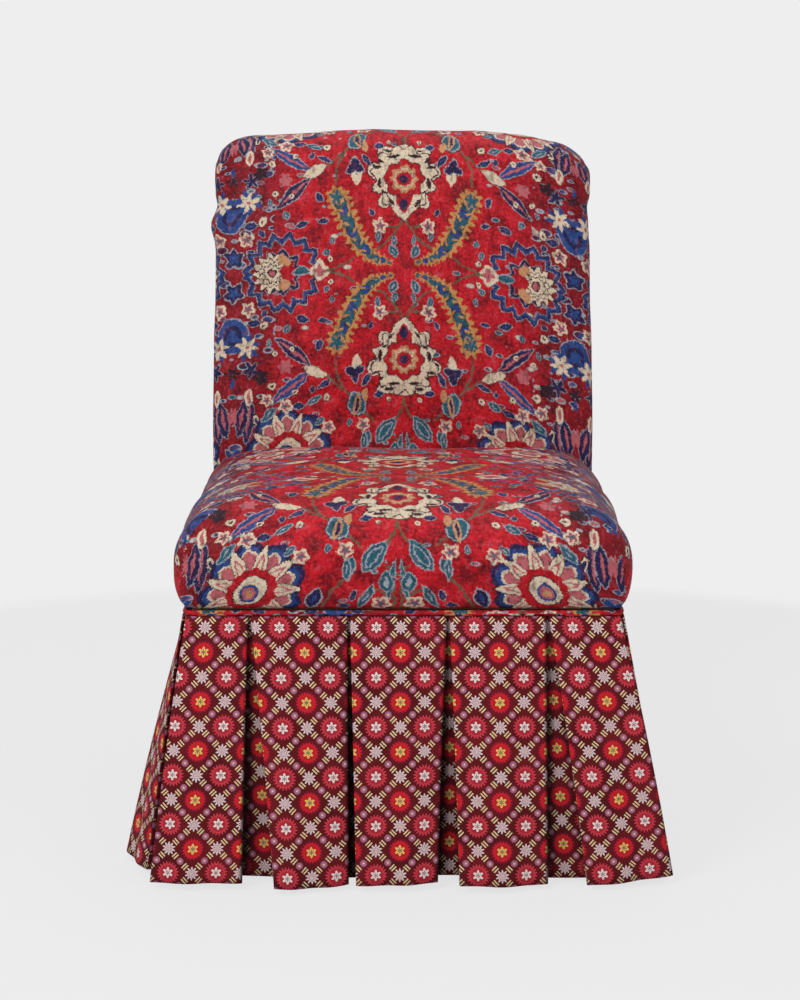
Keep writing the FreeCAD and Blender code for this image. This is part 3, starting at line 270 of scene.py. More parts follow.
def saz_pair(draw, base, first, second):
    """Two long leaves from one calyx, navy and blue, each with a pink rib and a pale edge."""
    for tip, side in ((first, -1), (second, 1)):
        along = (Vector(tip) - Vector(base)).normalized()
        across = Vector((-along.y, along.x)) * side
        start = Vector(base) + across * 3.0
        draw.leaf(start, tip, 6.4, (1.0, PALE), (0.86, NAVY if side < 0 else BLUE))
        rib_tip = Vector(tip) - along * 5
        draw.leaf(start + along * 4, rib_tip, 1.5, (1.0, PINK))


def draw_palmette(draw):
    draw.oval((27, 98), (9, 8), 0.2, (1.14, DARK), (1.0, CREAM))
    draw.oval((17, 70), (10, 6.5), -0.8, (1.12, DARK), (1.0, CREAM))
    draw.oval((15, 116), (12, 7), 0.3, (1.12, DARK), (1.0, CREAM))
    draw.oval((0, 119), (10, 7), 0.0, (1.08, DARK), (1.0, CREAM))
    draw.scallops((0, 92), 30, 0.11, 11, 0.2, (1.05, DARK), (1.0, CREAM))
    draw.leaf((0, 48), (0, 98), 16, (1.06, DARK), (1.0, CREAM), (0.52, RED))
    draw.leaf((0, 58), (0, 70), 4.0, (1.0, NAVY))
    for base, tip, width in (
            ((25, 80), (24, 92), 2.2), ((3, 114), (18, 113), 1.8), ((9, 62), (17, 71), 1.6),
            ((22, 101), (33, 104), 1.6), ((16, 75), (24, 79), 1.4), ((11, 119), (21, 120), 1.4),
            ((20, 106), (26, 112), 1.5), ((29, 92), (34, 96), 1.3)):
        draw.leaf(base, tip, width, (1.0, DARK))
    draw.scallops((0, 90), 18.5, 0.08, 8, 0.0, (1.06, DARK), (1.0, RED))
    draw.scallops((0, 90), 12.5, 0.12, 9, 0.0, (1.05, TAN), (0.80, CREAM), (0.70, TAN))
    draw.dot((0, 90), 7.5, (1.0, RED), (0.6, NAVY))


def draw_feather_leaf(draw):
    """The long serrated leaf beside the palmette, from its tip near the axis to its star end."""
    spine = [(14, 6.5, 3), (21, 8.5, 4.5), (28, 11, 5.5), (34, 15, 7), (39, 20, 8), (44, 26, 8.5),
             (48, 32, 9), (52, 39, 9.5), (55, 46, 10), (58, 53, 10), (61, 60, 10), (64, 67, 10.5),
             (66.5, 73, 9.5)]
    turns = [math.atan2(b[1] - a[1], b[0] - a[0]) for a, b in zip(spine, spine[1:])]
    turns.append(turns[-1])
    for (u, v, radius), turn in zip(spine, turns):
        draw.scallops((u, v), radius, 0.24, 8, turn, (1.05, GOLD))
    for index, ((u, v, radius), turn) in enumerate(zip(spine, turns)):
        core = BLUE if index % 3 == 1 else TEAL
        draw.oval((u, v), (radius * 0.62, radius * 0.54), turn, (1.10, DARK), (1.0, core))
    for index, ((u, v, radius), turn) in enumerate(zip(spine[2:-1], turns[2:-1])):
        side = 1 if index % 2 else -1
        beside = Vector((-math.sin(turn), math.cos(turn))) * side * radius * 0.30
        draw.oval(Vector((u, v)) + beside, (radius * 0.34, radius * 0.13), turn + side * 0.9, (1.0, GOLD))
    draw.petals((67, 72), 8.5, 3, 5, 0.4, (1.15, GOLD), (1.0, TEAL))


def draw_vines(draw):
    for points in ([(0, 52), (5, 42), (11, 34), (21, 24), (31, 18)], [(8, 42), (15, 43), (24, 43)],
                   [(50, 12.5), (58, 6.3), (67.5, 2.4), (77, 0)], [(59.5, 119), (67.5, 101), (68, 86)],
                   [(98, 96), (78, 104), (67.5, 113), (59.5, 119), (54, 125.5)],
                   [(39.5, 141.5), (29, 151.6)], [(0, 128), (2, 139), (9, 150)], [(9, 168), (0, 175)],
                   [(3, 168), (3, 190), (3, 214)], [(3, 200), (14, 190), (21, 188)],
                   [(41, 177), (52, 190), (60, 206)], [(0, 236), (14, 230), (30, 236), (44, 232)]):
        draw.stem(points, 1.2, VINE)


def draw_medallion(draw):
    draw.ring((121, 0), 35, 41, 7.5, 15, 0.1, (1.3, PALE), (1.0, NAVY))
    draw.ring((121, 0), 35, 39, 7.5, 15, 0.1, (0.7, BLUE))
    draw.ring((123, 0), 20, 24.5, 7, 9, 0.3, (1.3, PALE), (0.9, NAVY))
    draw.scallops((132, 0), 17, 0.16, 13, 0.0, (1.10, DARK), (1.0, CREAM))
    draw.scallops((132, 0), 12, 0.12, 11, 0.3, (1.08, DARK), (0.98, CREAM))
    draw.scallops((132, 0), 8, 0.12, 9, 0.0, (1.14, DARK), (0.98, CREAM))
    draw.oval((115, 0), (9, 8), 0.0, (1.0, RED))
    draw.oval((120, 12), (7, 5), 0.6, (1.0, TAN))
    draw.dot((131.5, 0), 4.6, (1.0, DARK), (0.7, PINK))
    draw.scallops((84, 0), 8.5, 0.18, 4, 0.0, (1.1, CREAM), (0.6, PINK))
    draw.leaf((92, 0), (112, 0), 5, (1.0, PALE), (0.75, TEAL))


def draw_lotus(draw):
    draw.scallops((115, 178), 40, 0.07, 9, 0.55, (1.03, NAVY), (0.92, BLUE))
    draw.scallops((115, 178), 31, 0.11, 9, 0.55, (1.05, CREAM), (0.97, PINK))
    draw.petals((115, 178), 41, 15, 9, 0.2, (1.03, DARK), (0.98, CREAM), (0.80, PINK), (0.70, CREAM))
    draw.scallops((115, 178), 20, 0.04, 14, 0.0, (1.0, RED))
    draw.oval((116, 178), (14, 12), 0.7, (1.06, DARK), (1.0, CREAM))
    draw.oval((117.5, 179.5), (8.5, 8), 0.7, (1.0, BLUE), (0.72, PINK), (0.4, TAN))


def draw_border(draw):
    """The heart, daisies and upright leaves along the mirror beside the main flowers."""
    draw.scallops((170, 17), 9, 0.2, 5, 1.5, (1.1, PALE), (0.95, NAVY), (0.5, BLUE))
    draw.oval((170, 60), (15, 17), 0.0, (1.06, PALE), (1.0, BLUE), (0.62, NAVY), (0.36, BLUE))
    draw.petals((156, 72), 15, 5, 6, 0.3, (1.0, BLUE))
    draw.petals((156, 72), 12, 4, 6, 0.82, (1.0, CREAM))
    draw.dot((156, 72), 4, (1.0, CREAM), (0.5, PINK))
    draw.petals((152, 95), 9, 3, 5, 0.2, (1.1, PALE), (1.0, NAVY))
    draw.scallops((142, 102), 7, 0.2, 5, 0.0, (1.0, DARK))
    draw.petals((170, 97), 8, 2.5, 6, 0.0, (1.0, DARK))
    draw.oval((170, 107), (2.2, 5), 0.0, (1.0, BLUE))
    for base, tip in (((152, 123), (157, 168)), ((158, 124), (164, 162))):
        draw.leaf(base, tip, 6.5, (1.0, PALE), (0.9, NAVY))
        draw.leaf(Vector(base) + Vector((1, 6)), Vector(tip) - Vector((1, 8)), 1.5, (1.0, PINK))
    draw.leaf((154, 112), (154, 131), 4.2, (1.0, CREAM), (0.4, PINK))
    draw.leaf((168, 130), (168, 150), 2.2, (1.0, PINK))
    draw.oval((146, 146), (3, 7), 0.2, (1.2, DARK), (1.0, CREAM), (0.6, NAVY))
    draw.petals((170, 182), 12, 4, 5, 1.57, (1.1, PALE), (1.0, BLUE))
    draw.scallops((152, 188), 8, 0.2, 5, 0.0, (1.0, CREAM), (0.6, BLUE))
    draw.petals((170, 214), 14, 5, 7, 0.4, (1.1, PALE), (1.0, NAVY), (0.6, BLUE))


def draw_small_flowers(draw):
    teal_leaves = [
        ((8, 10), (14, 25), 4.6), ((9, 23), (10, 34), 2.8), ((26, 27), (26, 39), 3.2),
        ((71, 25), (72, 33), 3), ((34, 160), (41, 178), 4.5), ((40, 160), (40, 181), 3.6),
        ((2, 162), (9, 202), 3), ((76, 14), (78, 22), 3.5), ((83, 124), (97, 133), 4),
        ((126, 133), (142, 148), 4.6), ((19, 184), (32, 210), 4.6), ((54, 148), (55, 156), 3),
        ((115, 52), (119, 61), 3.4), ((133, 65), (135, 74), 2.6), ((79, 146), (88, 153), 3.4),
        ((30, 220), (44, 228), 4), ((10, 240), (22, 252), 4.4), ((60, 224), (72, 236), 4),
        ((92, 232), (106, 240), 4), ((36, 250), (50, 262), 4)]
    navy_leaves = [
        ((30, 52), (35, 60), 2.8), ((75, 49), (86, 50), 3), ((94, 50), (108, 45), 4),
        ((81, 68), (87, 79), 4), ((33, 102), (42, 117), 3.4), ((72, 109), (87, 116), 3.4),
        ((97, 133), (112, 134), 3.4), ((0, 178), (14, 181), 3.4), ((33, 188), (37, 200), 3),
        ((36, 205), (49, 204), 3), ((142, 48), (156, 48), 4.5), ((62, 184), (70, 206), 7),
        ((20, 124), (31, 124), 4), ((137, 36), (142, 43), 3.4), ((91, 113), (92, 121), 3.2),
        ((76, 246), (92, 256), 5), ((112, 244), (124, 262), 6), ((142, 228), (152, 246), 5)]
    buds = [
        ((73.5, 11), 2.6), ((139, 51.5), 4), ((77, 126.5), 3.6), ((111.5, 76.5), 2.6),
        ((128.5, 80), 3), ((108, 119), 2.8), ((131.5, 112), 4), ((15, 129.5), 2.4),
        ((100, 222), 4), ((130, 226), 4), ((54, 240), 4), ((22, 226), 3.4)]
    blossoms = [
        ((24, 43), 6.5), ((75.5, 156), 6), ((155.5, 35), 6.5), ((41, 155), 6), ((118, 133), 6.5),
        ((136, 126), 5.5), ((13, 204), 7), ((84, 224), 7), ((0, 256), 12), ((118, 268), 12)]
    for leaf in teal_leaves:
        draw.leaf(*leaf, (1.0, PALE), (0.74, TEAL), (0.18, PALE))
    for leaf in navy_leaves:
        draw.leaf(*leaf, (1.0, PALE), (0.78, NAVY), (0.24, BLUE))
    for bud in buds:
        draw.dot(*bud, (1.2, WINE), (1.0, CREAM), (0.35, DARK))
    for blossom in blossoms:
        draw.scallops(*blossom, 0.2, 5, 0.4, (1.05, CREAM), (0.62, PINK), (0.3, TEAL))
    draw.leaf((9, 172), (9, 192), 6.4, (1.0, PALE), (0.82, TEAL), (0.30, PALE))
    draw.leaf((47, 84), (48, 106), 5, (1.0, CREAM))
    draw.petals((49, 103), 10, 4, 3, 1.57, (1.1, PALE), (1.0, NAVY))
    draw.oval((47, 133.5), (9, 12.5), 0.25, (1.08, DARK), (1.0, PALE), (0.86, TEAL))
    draw.leaf((45, 122), (49, 147), 3.4, (1.0, TAN), (0.45, NAVY))
    draw.leaf((38, 118), (40, 132), 3.4, (1.0, TAN))
    draw.leaf((9, 147), (28, 173), 8.2, (1.0, PALE), (0.86, TEAL), (0.5, PALE), (0.34, TEAL))
    draw.scallops((118, 93), 6.5, 0.2, 6, 0.0, (1.0, PINK))


def scatter_blossoms(draw, cloth):
    """Small leaves and blossoms that fill the ground between the main motifs and its border."""
    draw.paint = draw.paint.over(((draw.across - 108) * 0.018).least(0.6).most(0.0), WINE)
    border = draw.across.above(128)
    ground = draw.across.above(8)
    for lean, pitch, radius, zone, stops in (
            (0.6, (0.034, 0.019), 0.150, ground, ((0.38, TEAL), (0.48, PINK), (0.56, NAVY), (0.66, CREAM))),
            (-0.9, (0.028, 0.016), 0.200, border, ((0.38, NAVY), (0.48, BLUE), (0.56, CREAM), (0.66, NAVY))),
            (1.5, (0.040, 0.024), 0.210, border, ((0.36, NAVY), (0.46, WINE), (0.56, BLUE), (0.68, PINK)))):
        place = {"Vector": cloth, "Rotation": (0, 0, lean), "Scale": (1 / pitch[0], 1 / pitch[1], 1.0)}
        spot = cloth.node("ShaderNodeMapping", {}, place)
        near = spot.node("ShaderNodeTexVoronoi", {}, {"Vector": spot, "Scale": 1.0}, "Distance")
        ragged = near + cloth.noise(700.0, 1.0) * 0.10
        fill = cloth.noise(1 / pitch[0], 1.0).ramp(*stops)
        draw.paint = draw.paint.over(ragged.below(radius * 1.25 + 0.05) * zone, PALE)
        draw.paint = draw.paint.over(ragged.below(radius + 0.05) * zone, fill)


def velvet_material():
    """Carpet-patterned velvet, in cloth coordinates: knots, abrash and a crushed pile, with painted sheen in
    pink streaks and specks.
    """
    material, start, shader = new_material("carpet_velvet", Roughness=0.5, Specular_IOR_Level=0.14,
                                           Sheen_Weight=0.04, Sheen_Roughness=0.35,
                                           Sheen_Tint=(1.0, 0.5, 0.55, 1.0))
    cloth = cloth_place(start)
    jag = cloth.jitter(430.0, 2.0, 0.7, (0.0072, 0.0078, 0.0))
    sway = cloth.jitter(70.0, 1.0, 0.5, (0.007, 0.007, 0.0))
    across, along, _ = cloth.moved(jag).moved(sway).scaled((1 / KNOT, 1 / KNOT, 0)).parts()
    patches = cloth.noise(30.0, 4.0, 0.68)
    ground = patches.ramp((0.36, DEEP), (0.48, RED), (0.60, BRIGHT), (0.71, MOTTLE))
    across, along = across.calc("PINGPONG", HALF_REPEAT[0]), along.calc("PINGPONG", HALF_REPEAT[1])
    draw = Drawing(across, along, ground)
    scatter_blossoms(draw, cloth)
    draw_border(draw)
    draw_medallion(draw)
    draw_lotus(draw)
    draw_vines(draw)
    draw_feather_leaf(draw)
    draw_palmette(draw)
    saz_pair(draw, (94, 97), (129, 63), (134, 131))
    draw.leaf((77, 105), (101, 95), 5.4, (1.08, DARK), (1.0, CREAM))
    draw_small_flowers(draw)
    # Streaks of the crushed pile laid over the pattern: the pink ones are painted sheen, the dark ones make
    # it darker
    streaks = cloth.scaled((120.0, 44.0, 0.0)).noise(1.0, 4.0, 0.72)
    paint = draw.paint.over(streaks.fade(0.57, 0.80, 0.0, 0.5), dye(178, 100, 108))
    paint = paint.over(streaks.fade(0.26, 0.50, 0.85, 0.0), dye(36, 5, 12))
    # Small specks of the pile: the pink ones are painted sheen, the dark ones make it darker
    pile_specks = cloth.noise(240.0, 3.0, 0.65)
    paint = paint.over(pile_specks.fade(0.32, 0.47, 0.6, 0.0), dye(52, 6, 16))
    paint = paint.over(pile_specks.fade(0.56, 0.74, 0.0, 0.4), dye(196, 96, 104))
    pile = cloth.noise(900.0, 2.0, 0.6)
    swell = cloth.noise(40.0, 3.0, 0.6)
    connect(shader, Base_Color=paint, Normal=bumped(start, pile * 0.12 + swell, 0.0045, 0.8))
    return material


# Dyes of the skirt
ROSE, SCARLET = dye(190, 54, 68), dye(194, 28, 38)
WHITE, YELLOW, MAUVE, PURPLE = dye(222, 204, 198), dye(216, 180, 98), dye(150, 86, 112), dye(104, 16, 38)
CORN, BRICK = dye(214, 192, 146), dye(146, 28, 38)
ROSETTE_PITCH = (0.0600, 0.0625)


def skirt_material():
    """Cotton with a diamond lattice: rosettes in the diamonds, daisies at their corners."""
    material, start, shader = new_material("rosette_cotton", Roughness=0.82, Specular_IOR_Level=0.14)
    cloth = cloth_place(start)
    rough = cloth.jitter(900.0, 1.0, 0.5, (0.0007, 0.0007, 0))
    cells = cloth.moved(rough).scaled((1 / ROSETTE_PITCH[0], 1 / ROSETTE_PITCH[1], 0))

    def tiled(shift):
        """The place inside a repeat whose middle is at shift, in repeats."""
        centred = cells.moved((0.5 - shift[0], 0.5 - shift[1], 0))
        cell = centred.node("ShaderNodeVectorMath", {"operation": "FRACTION"}, {0: centred})
        return cell.moved((-0.5, -0.5, 0))

    def flower(paint, places, radius, depth, count, coats):
        reach = places.length() * (1 / radius)
        across, along, _ = places.parts()
        wave = (along.calc("ARCTAN2", across) * count).calc("COSINE") * depth
        shape = reach + wave
        for share, colour in coats:
            paint = paint.over(shape.below(share), colour)
        return paint

    drift = cloth.noise(18.0, 2.0)
    paint = drift.ramp((0.35, dye(80, 14, 18)), (0.65, dye(102, 20, 25)))
    rose, scarlet = tiled((0, 0)), tiled((0.5, 0.5))
    for middle, radius, depth, petals, *coats in (
            (scarlet, 0.235, 0.04, 20, (1.0, PURPLE)),
            (rose, 0.208, 0.14, 20, (1.0, ROSE)),
            (rose, 0.150, 0.10, 20, (1.0, BRICK), (0.80, ROSE), (0.72, BRICK)),
            (rose, 0.088, 0.30, 6, (1.0, WHITE), (0.34, dye(112, 60, 72))),
            (scarlet, 0.196, 0.10, 20, (1.0, SCARLET)),
            (scarlet, 0.130, 0.08, 20, (1.0, BRICK), (0.84, SCARLET)),
            (scarlet, 0.088, 0.30, 6, (1.0, YELLOW), (0.36, dye(84, 60, 74)))):
        paint = flower(paint, middle, radius, depth, petals, coats)
    daisy = [(1.0, dye(206, 188, 186)), (0.46, dye(138, 52, 76)), (0.20, WHITE)]
    for shift in ((0.5, 0), (0, 0.5)):
        paint = flower(paint, tiled(shift), 0.110, 0.28, 10, daisy)
    button = [(1.0, MAUVE), (0.66, dye(164, 108, 128)), (0.26, CORN)]
    for shift in ((0.25, 0.25), (0.75, 0.25), (0.25, 0.75), (0.75, 0.75)):
        spot = tiled(shift)
        paint = flower(paint, spot, 0.072, 0.0, 1, button)
        falling = (shift[0] - 0.5) * (shift[1] - 0.5) > 0
        across, along, _ = spot.turned(-math.pi / 4 if falling else math.pi / 4).parts()
        beside = along.calc("ABSOLUTE").below(0.066)
        for offset in (0.122, 0.178):
            bar = (across.calc("ABSOLUTE") - offset).calc("ABSOLUTE").below(0.0135)
            paint = paint.over(bar * beside, CORN)
    # Painted shade inside the pleats: each vertex keeps how dark its cloth is painted, and the cloth there
    # is laid over with near black
    folded = start.node("ShaderNodeAttribute", {"attribute_name": "folded"}, {}, "Fac")
    paint = paint.over(folded, dye(16, 4, 6))
    weave = cloth.scaled((2200.0, 2200.0, 0.0)).noise(1.0, 1.0)
    crease = cloth.scaled((34.0, 9.0, 0.0)).noise(1.0, 2.0)
    connect(shader, Base_Color=paint, Normal=bumped(start, weave * 0.05 + crease * 0.9, 0.002, 0.5))
    return material


def wood_material(name, pale, brown, scale):
    material, start, shader = new_material(name, Roughness=0.6)
    place = object_place(start)
    grain = place.scaled((scale, scale, scale * 0.12)).noise(9.0, 4.0, 0.6)
    pores = place.scaled((scale, scale, scale * 0.04)).noise(60.0, 2.0)
    colour = (grain * 0.8 + pores * 0.2).ramp((0.35, brown), (0.62, pale))
    connect(shader, Base_Color=colour, Normal=bumped(start, pores, 0.0004, 0.4))
    return material


def metal_material(name, colour, dull, roughness):
    material, start, shader = new_material(name, Metallic=1.0, Roughness=roughness)
    spots = object_place(start).noise(90.0, 3.0, 0.6)
    connect(shader, Base_Color=spots.ramp((0.35, dull), (0.65, colour)))
    return material


def woven_material(name, pale, brown, pitch):
    """A plain weave on object coordinates, with painted shade darkening the gaps between its threads."""
    material, start, shader = new_material(name, Roughness=0.9)
    place = object_place(start).scaled((math.tau / pitch,) * 3)
    x, y, z = place.parts()
    threads = x.calc("SINE") * (y + z).calc("SINE") * 0.25 + 0.5
    uneven = object_place(start).noise(220.0, 2.0, 0.6)
    # Painted shade: the colour runs darker where the threads dip into the gaps between them
    colour = (threads * 0.6 + uneven * 0.4).ramp((0.3, brown), (0.6, pale))
    connect(shader, Base_Color=colour, Normal=bumped(start, threads, pitch * 0.2, 0.5))
    return material


def plain_material(name, pale, shade, scale, roughness):
    material, start, shader = new_material(name, Roughness=roughness)
    spots = object_place(start).noise(scale, 2.0)
    connect(shader, Base_Color=spots.ramp((0.35, shade), (0.65, pale)))
    return material


# Shaping helpers
def through(points, samples=12):
    """A smooth line through points, as a list of evenly ordered places."""
    padded = [points[0] * 2 - points[1], *points, points[-1] * 2 - points[-2]]
    line = []
    for before, a, b, after in zip(padded, padded[1:], padded[2:], padded[3:]):
        for step in range(samples):
            t = step / samples
            line.append(0.5 * ((2 * a) + (b - before) * t + (2 * before - 5 * a + 4 * b - after) * t ** 2
                               + (3 * a - before - 3 * b + after) * t ** 3))
    return line + [points[-1]]


class Rail:
    """A line that is read by the distance along it."""

    def __init__(self, places):
        self.places = places
        self.marks = [0.0]
        for a, b in zip(places, places[1:]):
            self.marks.append(self.marks[-1] + (b - a).length)
        self.length = self.marks[-1]

    def at(self, share):
        """The place at a share of the whole length."""
        distance = min(max(share, 0.0), 1.0) * self.length
        low, high = 0, len(self.marks) - 1
        while high - low > 1:
            middle = (low + high) // 2
            if self.marks[middle] <= distance:
                low = middle
            else:
                high = middle
        span = self.marks[high] - self.marks[low]
        between = (distance - self.marks[low]) / span if span else 0.0
        return self.places[low].lerp(self.places[high], between)


def blend_in(value, start, end):
    """A smooth step from 0 at start to 1 at end."""
    share = min(max((value - start) / (end - start), 0.0), 1.0)
    return share * share * (3 - 2 * share)


def grid_piece(name, columns, rows, place, cloth, material, close=False, folded=None):
    """A grid put in place by place(s, t), with cloth(s, t, middle_s, middle_t) as its cloth map. Where
    its last argument gives a painted shade for each (s, t), the vertices keep it, to darken the cloth inside
    a pleat."""
    bm = bmesh.new()
    bmesh.ops.create_grid(bm, x_segments=columns, y_segments=rows, size=0.5)
    layer = bm.loops.layers.uv.new("cloth")
    for face in bm.faces:
        middle = face.calc_center_median()
        for loop in face.loops:
            s, t = loop.vert.co.x + 0.5, loop.vert.co.y + 0.5
            loop[layer].uv = cloth(s, t, middle.x + 0.5, middle.y + 0.5)
    shade = bm.verts.layers.float.new("folded") if folded else None
    for vert in bm.verts:
        if folded:
            vert[shade] = folded(vert.co.x + 0.5, vert.co.y + 0.5)
        vert.co = place(vert.co.x + 0.5, vert.co.y + 0.5)
    if close:
        bmesh.ops.remove_doubles(bm, verts=bm.verts, dist=0.00005)
        bmesh.ops.holes_fill(bm, edges=[edge for edge in bm.edges if edge.is_boundary], sides=0)
        bmesh.ops.recalc_face_normals(bm, faces=bm.faces)
    return piece_of(name, bm, material)


def piece_of(name, bm, material, smooth=True):
    """An object made of a bmesh. Where smooth is off, its faces keep their own shading."""
    mesh = bpy.data.meshes.new(name)
    bm.to_mesh(mesh)
    bm.free()
    if smooth:
        mesh.polygons.foreach_set("use_smooth", [True] * len(mesh.polygons))
    mesh.materials.append(material)
    piece = bpy.data.objects.new(name, mesh)
    bpy.context.scene.collection.objects.link(piece)
    return piece


def hand_over(piece, slot, *nodes):
    """Puts a piece on the chair's body, in place of the frame's nodes. Its slot is not used."""
    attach(piece, "root")
    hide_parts(*nodes)


def rumple(place, scale, depth, seed):
    """A soft swell of the cloth at a place."""
    return noise.noise(Vector(place) * scale + Vector((seed, seed * 0.7, 0))) * depth


# Seat
# From the top patch's edge outwards: how far outside the waist, and height
SEAT_SIDE = [(-0.1596, 0.4880), (-0.1117, 0.4868), (-0.0718, 0.4832), (-0.0426, 0.4776), (-0.0213, 0.4698),
             (-0.0053, 0.4588), (0.0095, 0.4430), (0.0175, 0.4240), (0.0195, 0.4030), (0.0165, 0.3810),
             (0.0096, 0.3630), (0.0015, 0.3530)]
# The top patch's share of the grid, and how far the crown rises over the ledge
PATCH, CROWN_RISE = 0.34, 0.1367
WAIST_CORNER, CORNER_GROWTH = 0.0035, 0.0425
# The seat's pattern: where its front is, how far it sits to the side, how much wider it is than on
# the back, and how it droops towards the sides
SEAT_PATTERN_FRONT, SEAT_PATTERN_SIDE = 211 * KNOT, -0.0067
SEAT_PATTERN_WIDER, SEAT_PATTERN_DROOP = 1.07, 0.616


def rounded_side(half, front, rear, front_radius, rear_radius, side, share):
    """A point of the seat's plan: side is front, right, rear or left, and share runs along it
    from corner to corner, -1 to 1, against the clock seen from above."""
    corners = {"front": (front_radius, front_radius), "right": (front_radius, rear_radius),
               "rear": (rear_radius, rear_radius), "left": (rear_radius, front_radius)}
    first, last = corners[side]
    length = 2 * half if side in ("front", "rear") else rear - front
    straight = length - first - last
    eighth_first, eighth_last = first * math.pi / 4, last * math.pi / 4
    total = straight + eighth_first + eighth_last
    distance = (share + 1) / 2 * total
    if distance < eighth_first:
        angle = math.pi / 4 * (1 - distance / eighth_first) if eighth_first else 0
        along, out = first - first * math.sin(angle), -first + first * math.cos(angle)
    elif distance > eighth_first + straight:
        angle = math.pi / 4 * ((distance - eighth_first - straight) / eighth_last)
        along, out = length - last + last * math.sin(angle), -last + last * math.cos(angle)
    else:
        along, out = first + distance - eighth_first, 0.0
    along -= length / 2
    centre = (front + rear) / 2
    if side == "front":
        return along, front - out, total
    if side == "right":
        return half + out, centre + along, total
    if side == "rear":
        return -along, rear + out, total
    return -half - out, centre - along, total


def seat_sector(s, t):
    """For a place of the seat's grid: how far out it is, its side, and the share along the side."""
    a, b = s * 2 - 1, t * 2 - 1
    reach = max(abs(a), abs(b), 1e-9)
    if abs(b) >= abs(a):
        return reach, ("front", a / reach) if b < 0 else ("rear", -a / reach)
    return reach, ("right", b / reach) if a > 0 else ("left", -b / reach)


def make_seat(material):
    side_line = Rail(through([Vector((out, height, 0)) for out, height in SEAT_SIDE]))

    def plan(reach, side, share):
        outward = (reach - PATCH) / (1 - PATCH) if reach > PATCH else 0.0
        out, height, _ = side_line.at(outward)
        drawn_in = max(0.0, -out)
        grow = min(1.0, (height - LEDGE) / (0.38 * CROWN_RISE))
        corner = WAIST_CORNER + CORNER_GROWTH * max(0.0, grow) + drawn_in * 0.2
        rear_corner = WAIST_CORNER + drawn_in * 0.225
        rear = CREVICE[0] - 0.0003 - drawn_in * 0.45
        x, y, total = rounded_side(WAIST_HALF + out, WAIST_FRONT - out, rear, corner, rear_corner,
                                   side, share)
        return x, y, height, total, outward

    def place(s, t):
        reach, (side, share) = seat_sector(s, t)
        x, y, height, _, outward = plan(max(reach, PATCH), side, share)
        middle_y = (WAIST_FRONT + CREVICE[0]) / 2 + 0.04
        if reach < PATCH:
            inner = reach / PATCH
            x, y = x * inner, middle_y + (y - middle_y) * inner
        spot = Vector((x, y, height))
        free = blend_in(outward, 1.0, 0.85) if reach > PATCH else 1.0
        swell = rumple(spot, 9.0, 0.0035, 3.1) + rumple(spot, 24.0, 0.0012, 7.7)
        spot += Vector((x * 0.9, (y + 0.07) * 0.9, 0.22)).normalized() * swell * free
        return spot

    middle_front = plan(PATCH, "front", 0)[1]
    middle_rear = plan(PATCH, "rear", 0)[1]
    patch_half = plan(PATCH, "right", 0)[0]

    def cloth(s, t, middle_s, middle_t):
        centre_reach, (side, _) = seat_sector(middle_s, middle_t)
        a, b = s * 2 - 1, t * 2 - 1
        reach = max(abs(a), abs(b))
        if centre_reach < PATCH:
            x, y, _ = place(s, t)
            u, down = x, -(y - middle_front) - side_line.length
        else:
            share = {"front": a, "rear": -a, "right": b, "left": -b}[side] / max(reach, 1e-9)
            _, _, _, total, outward = plan(max(reach, PATCH), side, min(max(share, -1), 1))
            along, out = share * total / 2, outward * side_line.length
            if side == "front":
                u, down = along, out - side_line.length
            elif side == "rear":
                u, down = -along, -side_line.length - (middle_rear - middle_front) - out
            else:
                sign = 1 if side == "right" else -1
                middle = (middle_rear - middle_front) / 2
                u, down = sign * (patch_half + out), -side_line.length - middle - sign * along
        u -= SEAT_PATTERN_SIDE
        return u / SEAT_PATTERN_WIDER, -(SEAT_PATTERN_FRONT + down - SEAT_PATTERN_DROOP * u * u)

    return grid_piece("seat_velvet", 150, 160, place, cloth, material, close=True)


# Back
def round_inset(distance, radius):
    """How far a rounded edge of that radius is drawn in, at a distance from its end."""
    reach = max(0.0, radius - distance)
    return radius - math.sqrt(max(0.0, radius * radius - reach * reach))


ROLL_FRONT = (ROLL_CENTRE[0] - ROLL_RADIUS * math.cos(RECLINE),
              ROLL_CENTRE[1] + ROLL_RADIUS * math.sin(RECLINE))
NECK = (ROLL_CENTRE[0] + ROLL_RADIUS * math.cos(NECK_ANGLE),
        ROLL_CENTRE[1] - ROLL_RADIUS * math.sin(NECK_ANGLE))
# Shares of the grid: up the front, over the roll, and the closing of each side
FRONT_SHARE, ROLL_SHARE, CAP = 0.40, 0.28, 0.10
OUTLINE_STEPS = 400
EDGE_RADIUS, SHOULDER_RADIUS, SHOULDER_DROP = 0.011, 0.050, 0.0225
CREASE_HEIGHT, CREASE_WIDTH = 0.8865, 0.0045
# The height at which the pattern's mirror crosses the back
PATTERN_AXIS = 0.7352
# Heights, and how far the back's side stands out there
SIDE_LINE = [(0.3513, -0.012), (0.375, -0.003), (0.42, 0.0015), (0.52, 0.0020), (0.62, 0.001),
             (0.70, -0.001), (0.76, -0.001), (0.80, -0.0025), (0.822, -0.004), (0.842, 0.000),
             (0.868, 0.001), (0.90, 0.0), (0.94, 0.0)]


def side_swell(height, side):
    """How far the back's side stands out at a height, from the cloth's pull and slack."""
    for (low, a), (high, b) in zip(SIDE_LINE, SIDE_LINE[1:]):
        if low <= height <= high:
            swell = a + (b - a) * blend_in(height, low, high)
            if side < 0:
                swell += 0.009 * math.exp(-((height - 0.797) / 0.020) ** 2)
            return swell
    return 0.0


def rear_line(height):
    """Y of the back's rear side, which is upright below the bend and leans above it."""
    return REAR + (NECK[0] - REAR) * max(0.0, height - BEND_HEIGHT) / (NECK[1] - BEND_HEIGHT)


